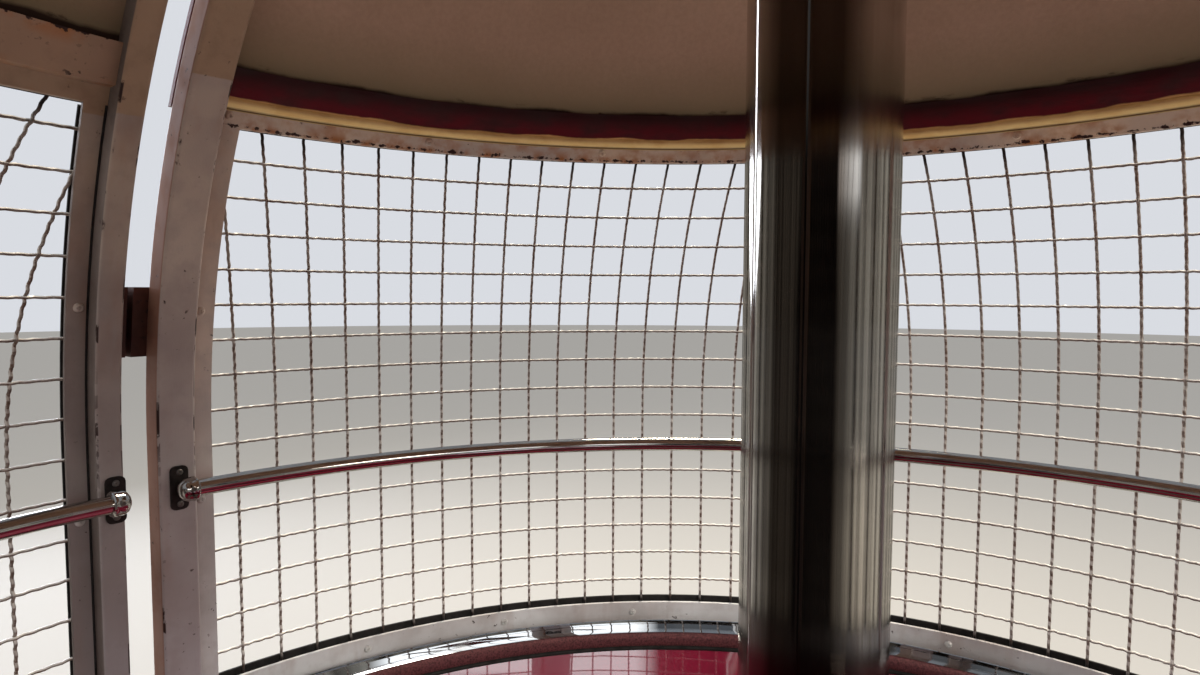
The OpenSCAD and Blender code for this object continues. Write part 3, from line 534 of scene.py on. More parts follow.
def bead(name, paths, radius, material, body, replaced=()):
    """Round beads or wires of one radius along paths of millimetre points, as one piece."""
    curve = bpy.data.curves.new(name, "CURVE")
    curve.dimensions = "3D"
    curve.bevel_depth = radius * MM
    curve.bevel_resolution = 1
    curve.use_fill_caps = True
    for path in paths:
        spline = curve.splines.new("POLY")
        spline.points.add(len(path) - 1)
        for spot, place in zip(spline.points, path):
            spot.co = (*(place * MM), 1)
    holder = bpy.data.objects.new(name + "_line", curve)
    scene.collection.objects.link(holder)
    bpy.context.view_layer.update()
    mesh = bpy.data.meshes.new_from_object(holder.evaluated_get(bpy.context.evaluated_depsgraph_get()))
    bpy.data.objects.remove(holder)
    bpy.data.curves.remove(curve)
    return keep(name, mesh, material, body, replaced)


def wall_r(r, z):
    """Radius at a height of a wall face: upright up to the dome's centre, and then a dome of radius r."""
    return math.sqrt(r ** 2 - max(0.0, z - DOME_Z) ** 2)


def tub_r(z):
    """Radius of the tub's outer face at a height."""
    return CAGE_R - RIM_IN - TUB_LEAN * (RIM_Z - z) / (RIM_Z - TUB_Z)


def beside(a, t, r, way):
    """Angle at radius r that lies t beside the plane at angle a, on the side way."""
    return a + way * math.degrees(math.asin(t / r))


def opening(bay, r):
    """Angles from which and up to which a bay is open at radius r."""
    return beside(bay.first, bay.near_first, r, 1), beside(bay.last, bay.near_last, r, -1)


def round_cabin(r, polar, z):
    """Point at a distance from the cabin's axis, at an angle in radians and a height."""
    return Vector((r * math.cos(polar), r * math.sin(polar), z))


def place_at(angle, r, t, z):
    """Matrix that puts local X outwards, Y along the cage and Z up, at a place given from a post's plane."""
    return Matrix.Rotation(math.radians(angle), 4, "Z") @ Matrix.Translation((r, t, z))


def crimped_mesh(name, node, bay, body):
    """Crimped wires of one bay. Each wire waves seven half waves per opening, so it passes over and under by
    turns. Wires are placed by u, their distance from the bay's middle plane, and by their arc up the wall."""
    wire_r = 1.6
    wave = 0.97 * wire_r
    halves = 7
    lap = 9.0
    bar_gap = 0.4
    end_gap = 1
    fewest_points = 8
    mean_r = BAR_OUT + bar_gap + 2 * wire_r
    half = math.radians(bay.last - bay.first) / 2
    middle = Matrix.Rotation(math.radians(bay.first + bay.last) / 2, 3, "Z")
    step = PITCH / (2 * halves)
    first_arc = bay.first_wire * PITCH
    upright_arc = DOME_Z - MESH_Z
    top_arc = upright_arc + mean_r * math.asin((MESH_TOP - DOME_Z) / mean_r)

    def swing(run, crossing):
        """Wave offset at a run from a crossing, in openings: full where wires cross, less between."""
        height = wave * (0.5 + 0.5 * math.cos(math.pi * run) ** 2)
        return height * math.cos(math.pi * (halves * run + crossing))

    def point(u, height, offset):
        """Point on the wall at u and a height, moved outwards by an offset."""
        v = math.sqrt(wall_r(mean_r, height) ** 2 - u ** 2)
        normal = Vector((v, u, max(0.0, height - DOME_Z))).normalized()
        return middle @ (Vector((v, u, height)) + normal * offset)

    def height_at(arc):
        """Height of the wall at an arc from the mesh's lower edge."""
        if arc <= upright_arc:
            return MESH_Z + arc
        return DOME_Z + mean_r * math.sin((arc - upright_arc) / mean_r)

    paths = []
    count = int(mean_r * math.sin(half) / PITCH)
    steps = int(round((top_arc + 2 * lap) / step))
    for k in range(-count, count + 1):
        u = k * PITCH + bay.shift
        clear = (bay.near_last if u > 0 else bay.near_first) + end_gap + 2 * wire_r
        v_min = (abs(u) * math.cos(half) + clear) / math.sin(half)
        path = []
        for i in range(steps + 1):
            arc = -lap + i * (top_arc + 2 * lap) / steps
            height = height_at(arc)
            if math.sqrt(wall_r(mean_r, height) ** 2 - u ** 2) < v_min:
                break
            path.append(point(u, height, -swing((arc - first_arc) / PITCH, k)))
        if len(path) > fewest_points:
            paths.append(path)
    for row in range(math.ceil((top_arc - first_arc) / PITCH)):
        height = height_at(first_arc + row * PITCH)
        radius = wall_r(mean_r, height)
        u0 = -radius * math.sin(half - math.asin((bay.near_first + end_gap) / radius))
        u1 = radius * math.sin(half - math.asin((bay.near_last + end_gap) / radius))
        steps = int(round((u1 - u0) / step))
        across = [u0 + i * (u1 - u0) / steps for i in range(steps + 1)]
        paths.append([point(u, height, swing((u - bay.shift) / PITCH, row)) for u in across])
    bead(name, paths, wire_r, wire_zinc, body, (node,))


for bay_name, bay in BAYS.items():
    crimped_mesh("woven_wire_" + bay_name, "mesh_" + bay_name, bay, "cabin")
crimped_mesh("woven_wire_door", "door_mesh", DOOR_BAY, "door")


def picked(geom, kind):
    """The vertices, edges or faces among what an operator made."""
    return [item for item in geom if isinstance(item, kind)]


def place_new(bm, old, matrix):
    """Moves all that a bmesh has gained since its vertices were noted."""
    bmesh.ops.transform(bm, matrix=matrix, verts=[v for v in bm.verts if v not in old])


def chamfer(bm, edges, offset, segments=1):
    """Bevels edges by an offset, in one cut or in more."""
    bmesh.ops.bevel(bm, geom=edges, offset=offset, segments=segments, profile=0.5, affect="EDGES",
                    material=-1)


def lathe(bm, outline, matrix, steps=28):
    """Spins an outline of (radius, along) points about the local Z axis, then places it."""
    old = set(bm.verts)
    ring = [bm.verts.new((r, 0, h)) for r, h in outline]
    edges = [bm.edges.new(pair) for pair in zip(ring, ring[1:])]
    bmesh.ops.spin(bm, geom=ring + edges, cent=(0, 0, 0), axis=(0, 0, 1), angle=2 * math.pi, steps=steps,
                   use_merge=True)
    place_new(bm, old, matrix)


def block(bm, matrix, size, rounding):
    """A box of three sizes with its edges rounded, placed by its middle."""
    made = bmesh.ops.create_cube(bm, size=1)["verts"]
    bmesh.ops.scale(bm, vec=size, verts=made)
    bmesh.ops.transform(bm, matrix=matrix, verts=made)
    chamfer(bm, list({e for v in made for e in v.link_edges}), rounding, 2)


def rounded_outline(u0, u1, v0, v1, r, steps=3):
    """Points of a rectangle with rounded corners. A point just beside each rounding keeps the flats flat."""
    corners = [(u1 - r, v1 - r, 0), (u0 + r, v1 - r, 90), (u0 + r, v0 + r, 180), (u1 - r, v0 + r, 270)]
    guard = 0.3 * r
    points = []
    for u, v, start in corners:
        first, last = math.radians(start), math.radians(start + 90)
        points.append((u + r * math.cos(first) + guard * math.sin(first),
                       v + r * math.sin(first) - guard * math.cos(first)))
        for i in range(steps + 1):
            turn = math.radians(start + 90 * i / steps)
            points.append((u + r * math.cos(turn), v + r * math.sin(turn)))
        points.append((u + r * math.cos(last) - guard * math.sin(last),
                       v + r * math.sin(last) + guard * math.cos(last)))
    return points


def oval(r, z, wide, high, degrees=range(0, 360, 30)):
    """Points of an oval outline about (r, z), wide and high from its middle, at angles in degrees."""
    return [(r + wide * math.cos(math.radians(a)), z + high * math.sin(math.radians(a))) for a in degrees]


def ring_bar(bm, outline, a0, a1, step_deg=1.5):
    """Sweeps a closed outline of (radius, height) points round the cabin's axis from angle a0 to a1."""
    old = set(bm.verts)
    face = bm.faces.new([bm.verts.new((r, 0, z)) for r, z in outline])
    steps = max(2, int((a1 - a0) / step_deg))
    bmesh.ops.spin(bm, geom=[face], cent=(0, 0, 0), axis=(0, 0, 1), angle=math.radians(a1 - a0), steps=steps)
    place_new(bm, old, place_at(a0, 0, 0, 0))


def upright_bar(bm, angle, t0, t1, r0, r1, z0, z1, rounding):
    """A bar that follows the cage's wall: upright to the dome's centre height, then bent with the dome.
    t0 and t1 bound it across, r0 and r1 are its inner and outer faces' distances from the axis."""
    old = set(bm.verts)
    outline = rounded_outline(t0, t1, r0, r1, rounding)
    face = bm.faces.new([bm.verts.new((math.sqrt(r * r - t * t), t, z0)) for t, r in outline])
    straight = bmesh.ops.extrude_face_region(bm, geom=[face])["geom"]
    bmesh.ops.translate(bm, vec=(0, 0, DOME_Z - z0), verts=picked(straight, BMVert))
    reach = math.asin((z1 - DOME_Z) / ((r0 + r1) / 2))
    bmesh.ops.spin(bm, geom=picked(straight, BMFace), cent=(0, 0, DOME_Z), axis=(0, -1, 0), angle=reach,
                   steps=max(4, int(math.degrees(reach) / 1.5)))
    place_new(bm, old, place_at(angle, 0, 0, 0))


# Posts and the door's stiles, with the rounded corners of bent steel
POST_ROUND = 3.0
JAMB_TOP = HEAD_Z + HEAD_BAR_H
POSTS = {
    "post_hinge_jamb": (HINGE_A, -JAMB_FAR, -JAMB_NEAR, JAMB_TOP),
    "post_rear_left": (REAR_LEFT_A, -HALF_POST, HALF_POST, BAND_TOP),
    "post_rear": (REAR_A, -HALF_POST, HALF_POST, BAND_TOP),
    "post_right": (RIGHT_A, -HALF_POST, HALF_POST, BAND_TOP),
    "post_latch_jamb": (LATCH_A, JAMB_NEAR, JAMB_FAR, JAMB_TOP),
}
for name, (angle, t0, t1, top) in POSTS.items():
    bm = bmesh.new()
    upright_bar(bm, angle, t0, t1, POST_IN, CAGE_R, BAND_Z, top, POST_ROUND)
    from_bmesh("rounded_" + name, bm, post_paint, "cabin", (name,))
bm = bmesh.new()
upright_bar(bm, HINGE_A, JAMB_NEAR, STILE_FAR, POST_IN, CAGE_R, BAND_Z, HEAD_Z, POST_ROUND)
upright_bar(bm, LATCH_A, -STILE_FAR, -JAMB_NEAR, POST_IN, CAGE_R, BAND_Z, HEAD_Z, POST_ROUND)
from_bmesh("rounded_door_stiles", bm, stile_paint, "door", ("door_stiles",))

# Clamp bars on the outside of the wires. They stand past the flat bars inside
CLAMP_IN = BAR_OUT + 5.6
CLAMP_OUT = CLAMP_IN + 3
CLAMP_OVER = 6
TOP_CLAMP_H = 10
CLAMP_ROUND = 0.6
for name, bay, body in [(n, b, "cabin") for n, b in BAYS.items()] + [("door", DOOR_BAY, "door")]:
    bm = bmesh.new()
    for z0, z1 in ((BAND_Z, MESH_Z + CLAMP_OVER), (MESH_TOP, MESH_TOP + TOP_CLAMP_H)):
        inner_r = wall_r(CLAMP_IN, z1)
        outline = rounded_outline(inner_r, inner_r + CLAMP_OUT - CLAMP_IN, z0, z1, CLAMP_ROUND, 1)
        ring_bar(bm, outline, *opening(bay, inner_r))
    for angle, near, way in ((bay.first, bay.near_first, 1), (bay.last, bay.near_last, -1)):
        sides = sorted((way * near, way * (near + bay.bar_w)))
        upright_bar(bm, angle, *sides, CLAMP_IN, CLAMP_OUT, MESH_Z + CLAMP_OVER, MESH_TOP, CLAMP_ROUND)
    from_bmesh("wire_clamp_" + name, bm, near_black_and_shadow, body)

# Handrails: tube, cupped sockets, and screwed plates at both ends
TUBE_END = 4
NECK_W, NECK_H, NECK_LAP = 9, 13, 6
PLATE_ROUND, NECK_ROUND = 5, 1.2
PLATE_SCREW_UP = 16
PLATE_SCREW, GRUB_SCREW = 0.72, 0.62
SOCKET = [
    (0, -7), (5.8, -6.2), (9.8, -3.6), (11.6, 0.4), (11.6, 5), (12.3, 6), (12.3, 8.2), (11.2, 9.4),
    (RAIL_D / 2 + 0.3, 9.8), (RAIL_D / 2 + 0.3, 2)]
PAN_HEAD = [(2.6, 2.6), (3.6, 1.9), (4.3, 0.8), (4.5, 0), (4.5, -1), (0, -1)]
FACE_OUT = Matrix.Rotation(math.radians(90), 4, "Y")
FACE_IN = Matrix.Rotation(math.radians(-90), 4, "Y")


def plate(bm, matrix, size, corner):
    """A flat plate with rounded corners, thin along local X, placed by its middle."""
    thick, width, height = size
    old = set(bm.verts)
    outline = rounded_outline(-width / 2, width / 2, -height / 2, height / 2, corner)
    face = bm.faces.new([bm.verts.new((-thick / 2, u, v)) for u, v in outline])
    pushed = bmesh.ops.extrude_face_region(bm, geom=[face])["geom"]
    bmesh.ops.translate(bm, vec=(thick, 0, 0), verts=picked(pushed, BMVert))
    cap = picked(pushed, BMFace)[0]
    chamfer(bm, list(cap.edges) + list(face.edges), 0.5)
    place_new(bm, old, matrix)


def pan_head(bm, matrix, scale=1.0):
    """A pan head with a cross recess, its top along local Z."""
    arm, w, deep = 1.9, 0.375, 1.3
    old = set(bm.verts)
    lathe(bm, PAN_HEAD, Matrix.Identity(4), 16)
    top = PAN_HEAD[0][1]
    rim = [e for e in bm.edges
           if e.is_boundary and all(v not in old and v.co.z > top - 0.01 for v in e.verts)]
    corners = [(arm, -w), (arm, w), (w, w), (w, arm), (-w, arm), (-w, w), (-arm, w), (-arm, -w), (-w, -w),
               (-w, -arm), (w, -arm), (w, -w)]
    ring = [bm.verts.new((x, y, top)) for x, y in corners]
    cross = [bm.edges.new(pair) for pair in zip(ring, ring[1:] + ring[:1])]
    bmesh.ops.triangle_fill(bm, use_beauty=True, edges=rim + cross)
    for face in [f for f in bm.faces if all(v in ring for v in f.verts)]:
        bm.faces.remove(face)
    walls = bmesh.ops.extrude_edge_only(bm, edges=cross)["geom"]
    bmesh.ops.translate(bm, vec=(0, 0, -deep), verts=picked(walls, BMVert))
    bmesh.ops.holes_fill(bm, edges=picked(walls, BMEdge))
    place_new(bm, old, matrix @ Matrix.Scale(scale, 4))


def handrail(name, node, bay, t0, t1, body):
    """One bay's handrail with its fittings. t0 and t1 are its plates' middles, from the end posts' planes."""
    tube = bmesh.new()
    ring_bar(tube, oval(RAIL_R, RAIL_Z, RAIL_D / 2, RAIL_D / 2, range(0, 360, 18)),
             beside(bay.first, t0 + TUBE_END, RAIL_R, 1), beside(bay.last, t1 + TUBE_END, RAIL_R, -1), 1.0)
    plates = bmesh.new()
    screws = bmesh.new()
    for angle, t, way in ((bay.first, t0, 1), (bay.last, -t1, -1)):
        x = math.sqrt(RAIL_R ** 2 - t ** 2)
        seat = math.sqrt(POST_IN ** 2 - (abs(t) + PLATE_W / 2) ** 2)
        face = seat - PLATE_T
        along = Matrix.Rotation(math.radians(-90 * way), 4, "X")
        lathe(tube, SOCKET, place_at(angle, x, t, RAIL_Z) @ along)
        neck = (face - x + NECK_LAP, NECK_W, NECK_H)
        block(tube, place_at(angle, (x + face) / 2, t, RAIL_Z), neck, NECK_ROUND)
        middle = place_at(angle, seat - PLATE_T / 2, t, RAIL_Z)
        plate(plates, middle, (PLATE_T, PLATE_W, PLATE_H), PLATE_ROUND)
        for z in (-PLATE_SCREW_UP, PLATE_SCREW_UP):
            turned = Matrix.Rotation(z, 4, "Z")
            pan_head(screws, place_at(angle, face, t, RAIL_Z + z) @ FACE_IN @ turned, PLATE_SCREW)
        pan_head(screws, place_at(angle, x - 11, t + way * 3, RAIL_Z + 2) @ FACE_IN, GRUB_SCREW)
    from_bmesh("handrail_" + name, tube, bright_tube, body, (node,))
    from_bmesh("rail_plates_" + name, plates, dark_fitting, body, (node,))
    from_bmesh("rail_screws_" + name, screws, dull_screws, body, (node,))


POST_QUARTER = POST_W / 4
JAMB_MID = JAMB_NEAR + POST_W / 2
STILE_MID = JAMB_NEAR + PLATE_W / 2
for name, bay in BAYS.items():
    t0, t1 = [POST_QUARTER if near == HALF_POST else JAMB_MID for near in (bay.near_first, bay.near_last)]
    handrail(name, "rail_" + name, bay, t0, t1, "cabin")
handrail("door", "door_rail", DOOR_BAY, STILE_MID, STILE_MID, "door")


def inward(polar, r, z):
    """Place of a head that looks towards the axis, on a face of the cage's wall."""
    tilt = math.asin(max(0.0, z - DOME_Z) / r)
    return place_at(polar, wall_r(r, z), 0, z) @ Matrix.Rotation(-tilt, 4, "Y") @ FACE_IN


def spread(bay, step, start=None):
    """Angles step apart over a bay's opening, from a start or evenly with a half step in from both ends."""
    a0, a1 = opening(bay, BAR_IN)
    if start is None:
        count = max(1, round((a1 - a0) / step))
        return [a0 + (a1 - a0) * (i + 0.5) / count for i in range(count)]
    return [start + i * step for i in range(-9, 9) if a0 + 1 < start + i * step < a1 - 1]


# Pan heads that hold the bars and bands: degrees from head to head, and the angles of those that the photo
# shows, which the rest of their row follows
LOW_STEP, TOP_STEP, DOOR_STEP = 14.55, 19.3, 15
SEEN_LOW = {"front_bay": 175.9, "rear_left_bay": 142.1}
SEEN_TOP = {"front_bay": 180.5, "rear_left_bay": 136.8}
LOW_HEAD_Z = BAND_Z + LOW_BAND_H / 2
TOP_HEAD_Z = MESH_TOP + 10
SIDE_HEADS_UP = (203.5, 400)
DOOR_SIDE_HEADS_UP = (206, 405)
bm = bmesh.new()
painted = bmesh.new()
for name, bay in BAYS.items():
    for polar in spread(bay, LOW_STEP, SEEN_LOW.get(name)):
        pan_head(bm, inward(polar, BAR_IN, LOW_HEAD_Z) @ Matrix.Rotation(polar, 4, "Z"))
    for polar in spread(bay, TOP_STEP, SEEN_TOP.get(name)):
        pan_head(painted, inward(polar, BAR_IN, TOP_HEAD_Z))
    for angle, near, way in ((bay.first, bay.near_first, 1), (bay.last, bay.near_last, -1)):
        polar = beside(angle, near + bay.bar_w / 2, BAR_IN, way)
        for up in SIDE_HEADS_UP:
            pan_head(painted, inward(polar, BAR_IN, MESH_Z + up))
from_bmesh("band_pan_heads", bm, zinc_screws, "cabin")
from_bmesh("cage_pan_heads", painted, frame_paint, "cabin")
bm = bmesh.new()
for polar in spread(DOOR_BAY, DOOR_STEP):
    pan_head(bm, inward(polar, BAR_IN, LOW_HEAD_Z))
for angle, way in ((HINGE_A, 1), (LATCH_A, -1)):
    polar = beside(angle, STILE_FAR + DOOR_BAR_W / 2, BAR_IN, way)
    for up in DOOR_SIDE_HEADS_UP:
        pan_head(bm, inward(polar, BAR_IN, MESH_Z + up))
from_bmesh("door_pan_heads", bm, frame_paint, "door")

# Wavering dark seam of old sealant where each band stands on the rim's flange
seams = []
for bay in BAYS.values():
    a0, a1 = opening(bay, BAR_IN)
    steps = int((a1 - a0) * 5)
    path = []
    for i in range(steps + 1):
        polar = math.radians(a0 + (a1 - a0) * i / steps)
        waver = noise.noise(Vector((polar * 110, bay.first, 0))) * 0.7
        path.append(round_cabin(BAR_IN - 0.3, polar, BAND_Z + waver))
    seams.append(path)
bead("flange_seam", seams, 0.8, near_black_and_shadow, "cabin")

# Seam between each stile of the door and the frame of its mesh
seams = []
for angle, way in ((HINGE_A, 1), (LATCH_A, -1)):
    path = []
    for i in range(41):
        z = MESH_Z - 20 + i * (MESH_H + 20) / 40
        t = way * (STILE_FAR + 0.4)
        path.append(place_at(angle, math.sqrt(wall_r(BAR_IN, z) ** 2 - t * t), t, z).translation)
    seams.append(path)
bead("stile_seam", seams, 1.5, near_black_and_shadow, "door")

# Screws outside on the latch, four on the bolt's housing and two on the keeper: the body that carries them,
# the face they sit on, their places from the latch's plane, and how far over and under the bolt they are
BOLT_Z = RIM_Z - BOLT_DOWN
BOLT_X = tub_r(BOLT_Z) + STRIP_T + BOLT_CLEAR + BOLT_R
HOUSING_FACE = BOLT_X - BOLT_R - 2
KEEPER_FACE = BOLT_X + BOLT_R + GUIDE_WALL
LATCH_SCREW = 0.75
LATCH_SCREWS = {
    "latch_screws": ("door", HOUSING_FACE, (-68, -44), 13),
    "keeper_screws": ("cabin", KEEPER_FACE, (14,), 14),
}
for name, (body, face, across, up) in LATCH_SCREWS.items():
    bm = bmesh.new()
    for t in across:
        for z in (BOLT_Z - up, BOLT_Z + up):
            pan_head(bm, place_at(LATCH_A, face, t, z) @ FACE_OUT, LATCH_SCREW)
    from_bmesh(name, bm, zinc_screws, body)

# Rivets through the jamb strips on the tub, and through the door panel beside them
RIVET = [(0, 1.6), (1.9, 1.3), (3.0, 0.5), (3.3, 0), (3.3, -0.6), (0, -0.6)]
RIVET_LINE = 26
FIRST_RIVET_UP, RIVET_STEP = 80, 140
lean = Matrix.Rotation(math.atan2(TUB_LEAN, RIM_Z - TUB_Z), 4, "Y")
for name, body, raised, sign in (("tub_rivets", "cabin", STRIP_T, 1), ("panel_rivets", "door", 0, -1)):
    bm = bmesh.new()
    for angle, side in ((HINGE_A, -sign), (LATCH_A, sign)):
        for i in range(5):
            z = TUB_Z + FIRST_RIVET_UP + i * RIVET_STEP
            lathe(bm, RIVET, place_at(angle, tub_r(z) + raised, side * RIVET_LINE, z) @ lean @ FACE_OUT, 12)
    from_bmesh(name, bm, zinc_screws, body)

# Six hexagon bolts with washers on the crown plate
WASHER = [(0, 0.9), (11, 0.9), (11.5, 0), (11.5, -1), (0, -1)]
BOLT_CIRCLE_R = 88
HEX_R, HEX_H, HEX_MID = 7.8, 7, 4.2
bm = bmesh.new()
for i in range(6):
    spot = place_at(30 + 60 * i, BOLT_CIRCLE_R, 0, high("crown_plate"))
    lathe(bm, WASHER, spot, 20)
    made = bmesh.ops.create_cone(bm, cap_ends=True, segments=6, radius1=HEX_R, radius2=HEX_R,
                                 depth=HEX_H)["verts"]
    level = list({e for v in made for e in v.link_edges if abs(e.verts[0].co.z - e.verts[1].co.z) < 0.1})
    bmesh.ops.transform(bm, matrix=spot @ Matrix.Translation((0, 0, HEX_MID)), verts=made)
    chamfer(bm, level, 0.7)
from_bmesh("crown_bolts", bm, zinc_screws, "cabin")

# Plain cabin number of black vinyl on the door: a seven, by the middle of the door
DIGIT_H, DIGIT_W, STROKE = 108, 70, 22
DIGIT_TOP = RIM_Z - 10
DIGIT_A = LATCH_A - 37.5
VINYL_GAP, VINYL_T = 0.3, 0.4
CELLS = 8


def blend(first, second, share):
    """Point between two, by a share from 0 to 1."""
    return [a * (1 - share) + b * share for a, b in zip(first, second)]


bm = bmesh.new()
top_stroke = [(0, 0), (DIGIT_W, 0), (DIGIT_W, -STROKE), (0, -STROKE)]
long_stroke = [(DIGIT_W - STROKE * 1.15, -STROKE), (DIGIT_W, -STROKE), (STROKE * 1.6, -DIGIT_H),
               (STROKE * 0.5, -DIGIT_H)]
for corners in (top_stroke, long_stroke):
    grid = {}
    for i in range(CELLS + 1):
        for j in range(CELLS + 1):
            upper = blend(corners[0], corners[1], i / CELLS)
            lower = blend(corners[3], corners[2], i / CELLS)
            u, v = blend(upper, lower, j / CELLS)
            r = tub_r(DIGIT_TOP + v) + VINYL_GAP
            polar = math.radians(DIGIT_A) + (u - DIGIT_W / 2) / r
            grid[i, j] = bm.verts.new(round_cabin(r, polar, DIGIT_TOP + v))
    sheet = [bm.faces.new((grid[i, j], grid[i + 1, j], grid[i + 1, j + 1], grid[i, j + 1]))
             for i in range(CELLS) for j in range(CELLS)]
    for vert in picked(bmesh.ops.extrude_face_region(bm, geom=sheet)["geom"], BMVert):
        vert.co += Vector((vert.co.x, vert.co.y, 0)).normalized() * VINYL_T
from_bmesh("cabin_number", bm, black_vinyl, "door", smooth_deg=20)


def moulding(name, outline, r, clear, material, step_deg=1.0, smooth_deg=60):
    """Sweeps an outline round the fixed cabin, from jamb to jamb. At radius r, its ends lie clear beside the
    door's planes."""
    bm = bmesh.new()
    ring_bar(bm, outline, beside(LATCH_A - 360, clear, r, 1), beside(HINGE_A, clear, r, -1), step_deg)
    from_bmesh(name, bm, material, "cabin", smooth_deg=smooth_deg)


# Drip bead along the roof's lower edge
EAVE_BEAD_R = 4.5
eave_z = low("roof_dome")
eave_r = wall_r(CAGE_R, eave_z)
moulding("eave_bead", oval(eave_r + 1, eave_z + 3, EAVE_BEAD_R, EAVE_BEAD_R), eave_r, JAMB_FAR,
         maroon_gelcoat, 1.5)

# Cream half-round bead under the red of the cornice
BEAD_THICK, BEAD_H = 3.2, 5.6
bead_z = BAND_TOP + 6.5
bead_r = wall_r(BAR_IN, bead_z)
slope = math.asin((bead_z - DOME_Z) / BAR_IN)
outline = []
for i in range(9):
    turn = math.radians(90 + 180 * i / 8)
    u, v = BEAD_THICK * math.cos(turn) + 0.8, BEAD_H * math.sin(turn)
    outline.append((bead_r + u * math.cos(slope) - v * math.sin(slope),
                    bead_z + u * math.sin(slope) + v * math.cos(slope)))
moulding("cornice_bead", outline, bead_r, JAMB_FAR, red_and_cream, 1.5)

# Polished sill on the rim's flange: it leans inwards over the lip and sheds water towards the mesh. Both
# ends of its face curl in a little
SILL_UP, SILL_FACE_H, SILL_FACE_IN = 11, 13.7, 4.6
SILL_TOP_W = 22
FACE_STEPS = 6
outline = [(BAR_IN - 0.4, BAND_Z + 0.2), (BAR_IN - SILL_TOP_W, BAND_Z + SILL_UP + 0.3)]
for i in range(FACE_STEPS + 1):
    share = i / FACE_STEPS
    curl = 0.25 * math.cos(math.radians(19.6 - 2.6 * share)) if i in (0, FACE_STEPS) else 0
    outline.append((FLANGE_IN - 0.1 - SILL_FACE_IN * share - curl, BAND_Z + SILL_UP - SILL_FACE_H * share))
outline += [(FLANGE_IN - 0.4, BAND_Z + SILL_UP - SILL_FACE_H), (FLANGE_IN - 0.4, BAND_Z + 0.2)]
moulding("rim_sill", outline, FLANGE_IN - 1, JAMB_NEAR + 1, flange_steel, smooth_deg=35)

# Rough edging rolled over the backrest's lip, and a black bead in the corner under it: a painted shadow line
lip_mid_r, lip_mid_z = CAGE_R - RIM_IN - BACK_TOP_IN, RIM_Z - LIP_R
moulding("backrest_edging", oval(lip_mid_r, lip_mid_z, 10.2, 9.4, range(60, 330, 18)), lip_mid_r,
         BENCH_END + 0.2, rough_edging)
under_r, under_z = lip_mid_r - 8.5, lip_mid_z - 7
moulding("lip_shadow_bead", oval(under_r, under_z, 3, 3, range(0, 360, 45)), under_r, BENCH_END + 0.2,
         near_black_and_shadow)


# Floor, backdrop and light

DARK_SIDE = math.radians(-27)
SUNNY = math.radians(19)


def seen_by(tree, camera_value, glossy_value, other_value):
    """Three colours: for the camera, for reflections, and for all other light."""
    path = add(tree, "LightPath")
    rest = mixed(tree, path.outputs["Is Glossy Ray"], other_value, glossy_value)
    return mixed(tree, path.outputs["Is Camera Ray"], rest, camera_value)


def surroundings(tree, way):
    """What polished steel mirrors in a direction: upright light and dark bars, a dark band behind the camera,
    pale sky high up, and one sunlit patch that the rim and the seat catch."""
    flat = outward(tree, way)
    part = add(tree, "SeparateXYZ", {0: flat})
    angle = add(tree, "Math", {0: part.outputs["Y"], 1: part.outputs["X"]}, operation="ARCTAN2").outputs[0]
    bars = add(tree, "TexNoise", {"W": angle, "Scale": 5.5, "Detail": 3, "Roughness": 0.7},
               noise_dimensions="1D")
    share = add(tree, "MapRange", {"Value": bars.outputs[0], "From Min": 0.36, "From Max": 0.62})
    colour = mixed(tree, share.outputs[0], "#2a231c", "#a8a49b")
    dark_way = (math.cos(DARK_SIDE), math.sin(DARK_SIDE), 0)
    behind = add(tree, "VectorMath", {0: flat, 1: dark_way}, operation="DOT_PRODUCT").outputs["Value"]
    tall = add(tree, "SeparateXYZ", {0: way}).outputs["Z"]
    narrowing = add(tree, "Math", {0: tall, 1: -0.25, 2: behind}, operation="MULTIPLY_ADD").outputs[0]
    band = add(tree, "MapRange", {"Value": narrowing, "From Min": 0.84, "From Max": 0.90})
    colour = mixed(tree, band.outputs[0], colour, "#0a0806")
    high_up = add(tree, "MapRange", {"Value": tall, "From Min": 0.16, "From Max": 0.30})
    colour = mixed(tree, high_up.outputs[0], colour, "#9aa0a8")
    sunny_way = (math.cos(SUNNY), math.sin(SUNNY), 0)
    ahead = add(tree, "VectorMath", {0: flat, 1: sunny_way}, operation="DOT_PRODUCT")
    across = add(tree, "MapRange", {"Value": ahead.outputs["Value"], "From Min": 0.935, "From Max": 0.955})
    above = add(tree, "MapRange", {"Value": tall, "From Min": 0.11, "From Max": 0.13})
    below = add(tree, "MapRange", {"Value": tall, "From Min": 0.42, "From Max": 0.32})
    patch = both(tree, both(tree, across.outputs[0], above.outputs[0]), below.outputs[0])
    return mixed(tree, patch, colour, [2.5, 2.55, 2.6, 1.0])


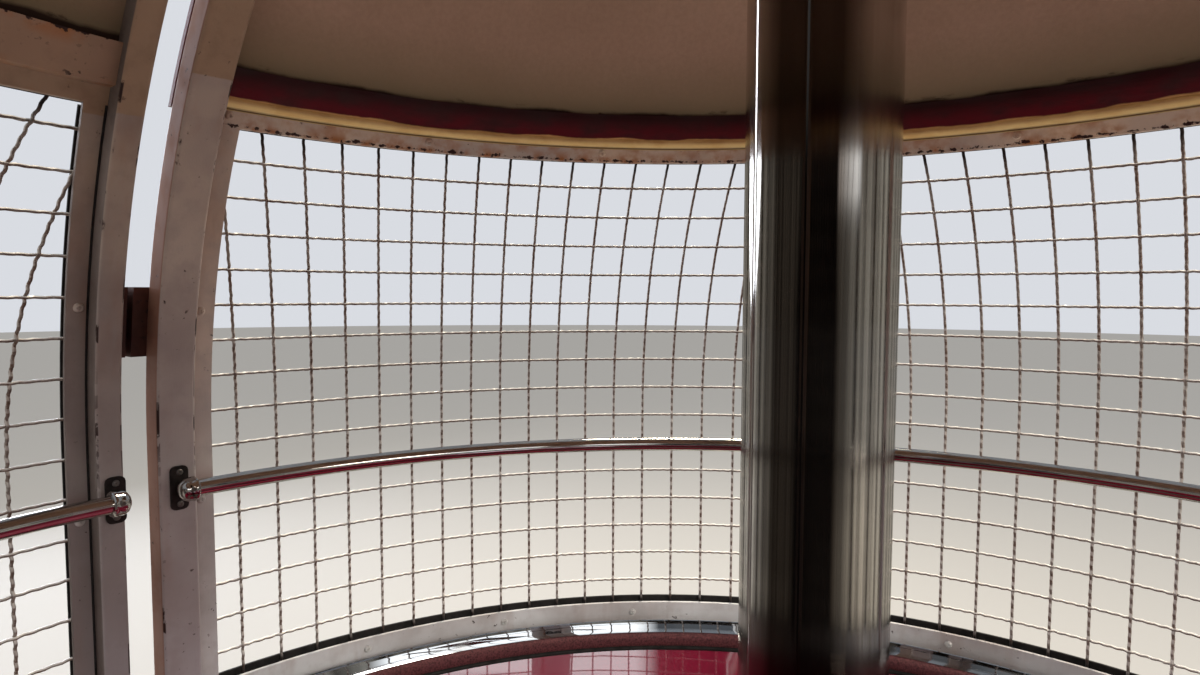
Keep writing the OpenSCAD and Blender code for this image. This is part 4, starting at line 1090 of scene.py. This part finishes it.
# The floor is pale paper to the camera; to reflections it shows the painted surroundings, sunlit patch and
# dark band included.
material, tree, shader = surface("pale_paper", Roughness=0.9)
mirrored = surroundings(tree, add(tree, "TexCoord").outputs["Object"])
tree.links.new(seen_by(tree, "#a5a29d", mirrored, "#cfcdc9"), shader.inputs["Base Color"])
bm = bmesh.new()
bmesh.ops.create_circle(bm, cap_ends=True, segments=96, radius=30)
floor_mesh = bpy.data.meshes.new("studio_floor")
bm.to_mesh(floor_mesh)
bm.free()
floor = bpy.data.objects.new("studio_floor", floor_mesh)
scene.collection.objects.link(floor)
floor_mesh.materials.append(material)

world = bpy.data.worlds.new("studio")
scene.world = world
world.use_nodes = True
sky = world.node_tree
sky.nodes.clear()
mirrored = surroundings(sky, add(sky, "TexCoord").outputs["Generated"])
background = add(sky, "Background", {"Color": seen_by(sky, "#d9dce2", mirrored, "#ffffff"), "Strength": 1.0})
add(sky, "OutputWorld", {"Surface": background.outputs[0]})


def lamp(name, place, target, size, watts, colour):
    """A soft area light that looks at a target. Places are metres."""
    light = bpy.data.lights.new(name, "AREA")
    light.shape = "DISK"
    light.size = size
    light.energy = watts
    light.color = linear(colour)[:3]
    holder = bpy.data.objects.new(name, light)
    scene.collection.objects.link(holder)
    holder.location = place
    holder.rotation_euler = (Vector(target) - Vector(place)).to_track_quat("-Z", "Y").to_euler()


lamp("key_light", (3.6, 3.2, 3.4), (0, 0, 1.0), 2.2, 260, "#fff6ea")
lamp("fill_light", (-3.5, -3.0, 2.6), (0, 0, 1.0), 3.0, 150, "#eef3ff")
lamp("sun_light", (-2.6, 0.9, 4.2), (-0.5, 0.1, 1.1), 0.9, 150, "#fff3dd")

# Camera at the photo's place: on the bench, looking past the pole
camera_data = bpy.data.cameras.new("rider_view")
camera_data.sensor_width = 36
camera_data.lens = 22.18
camera_data.clip_start = 0.01
camera = bpy.data.objects.new("rider_view", camera_data)
scene.collection.objects.link(camera)
camera.location = (0.2846, -0.1278, 1.3035)
heading, climb, roll = math.radians(172.27), math.radians(-3.43), math.radians(0.17)
ahead = Vector((math.cos(climb) * math.cos(heading), math.cos(climb) * math.sin(heading), math.sin(climb)))
camera.rotation_mode = "QUATERNION"
camera.rotation_quaternion = ahead.to_track_quat("-Z", "Y") @ Matrix.Rotation(roll, 3, "Z").to_quaternion()
scene.camera = camera

scene.view_settings.view_transform = "Standard"

bpy.context.view_layer.update()
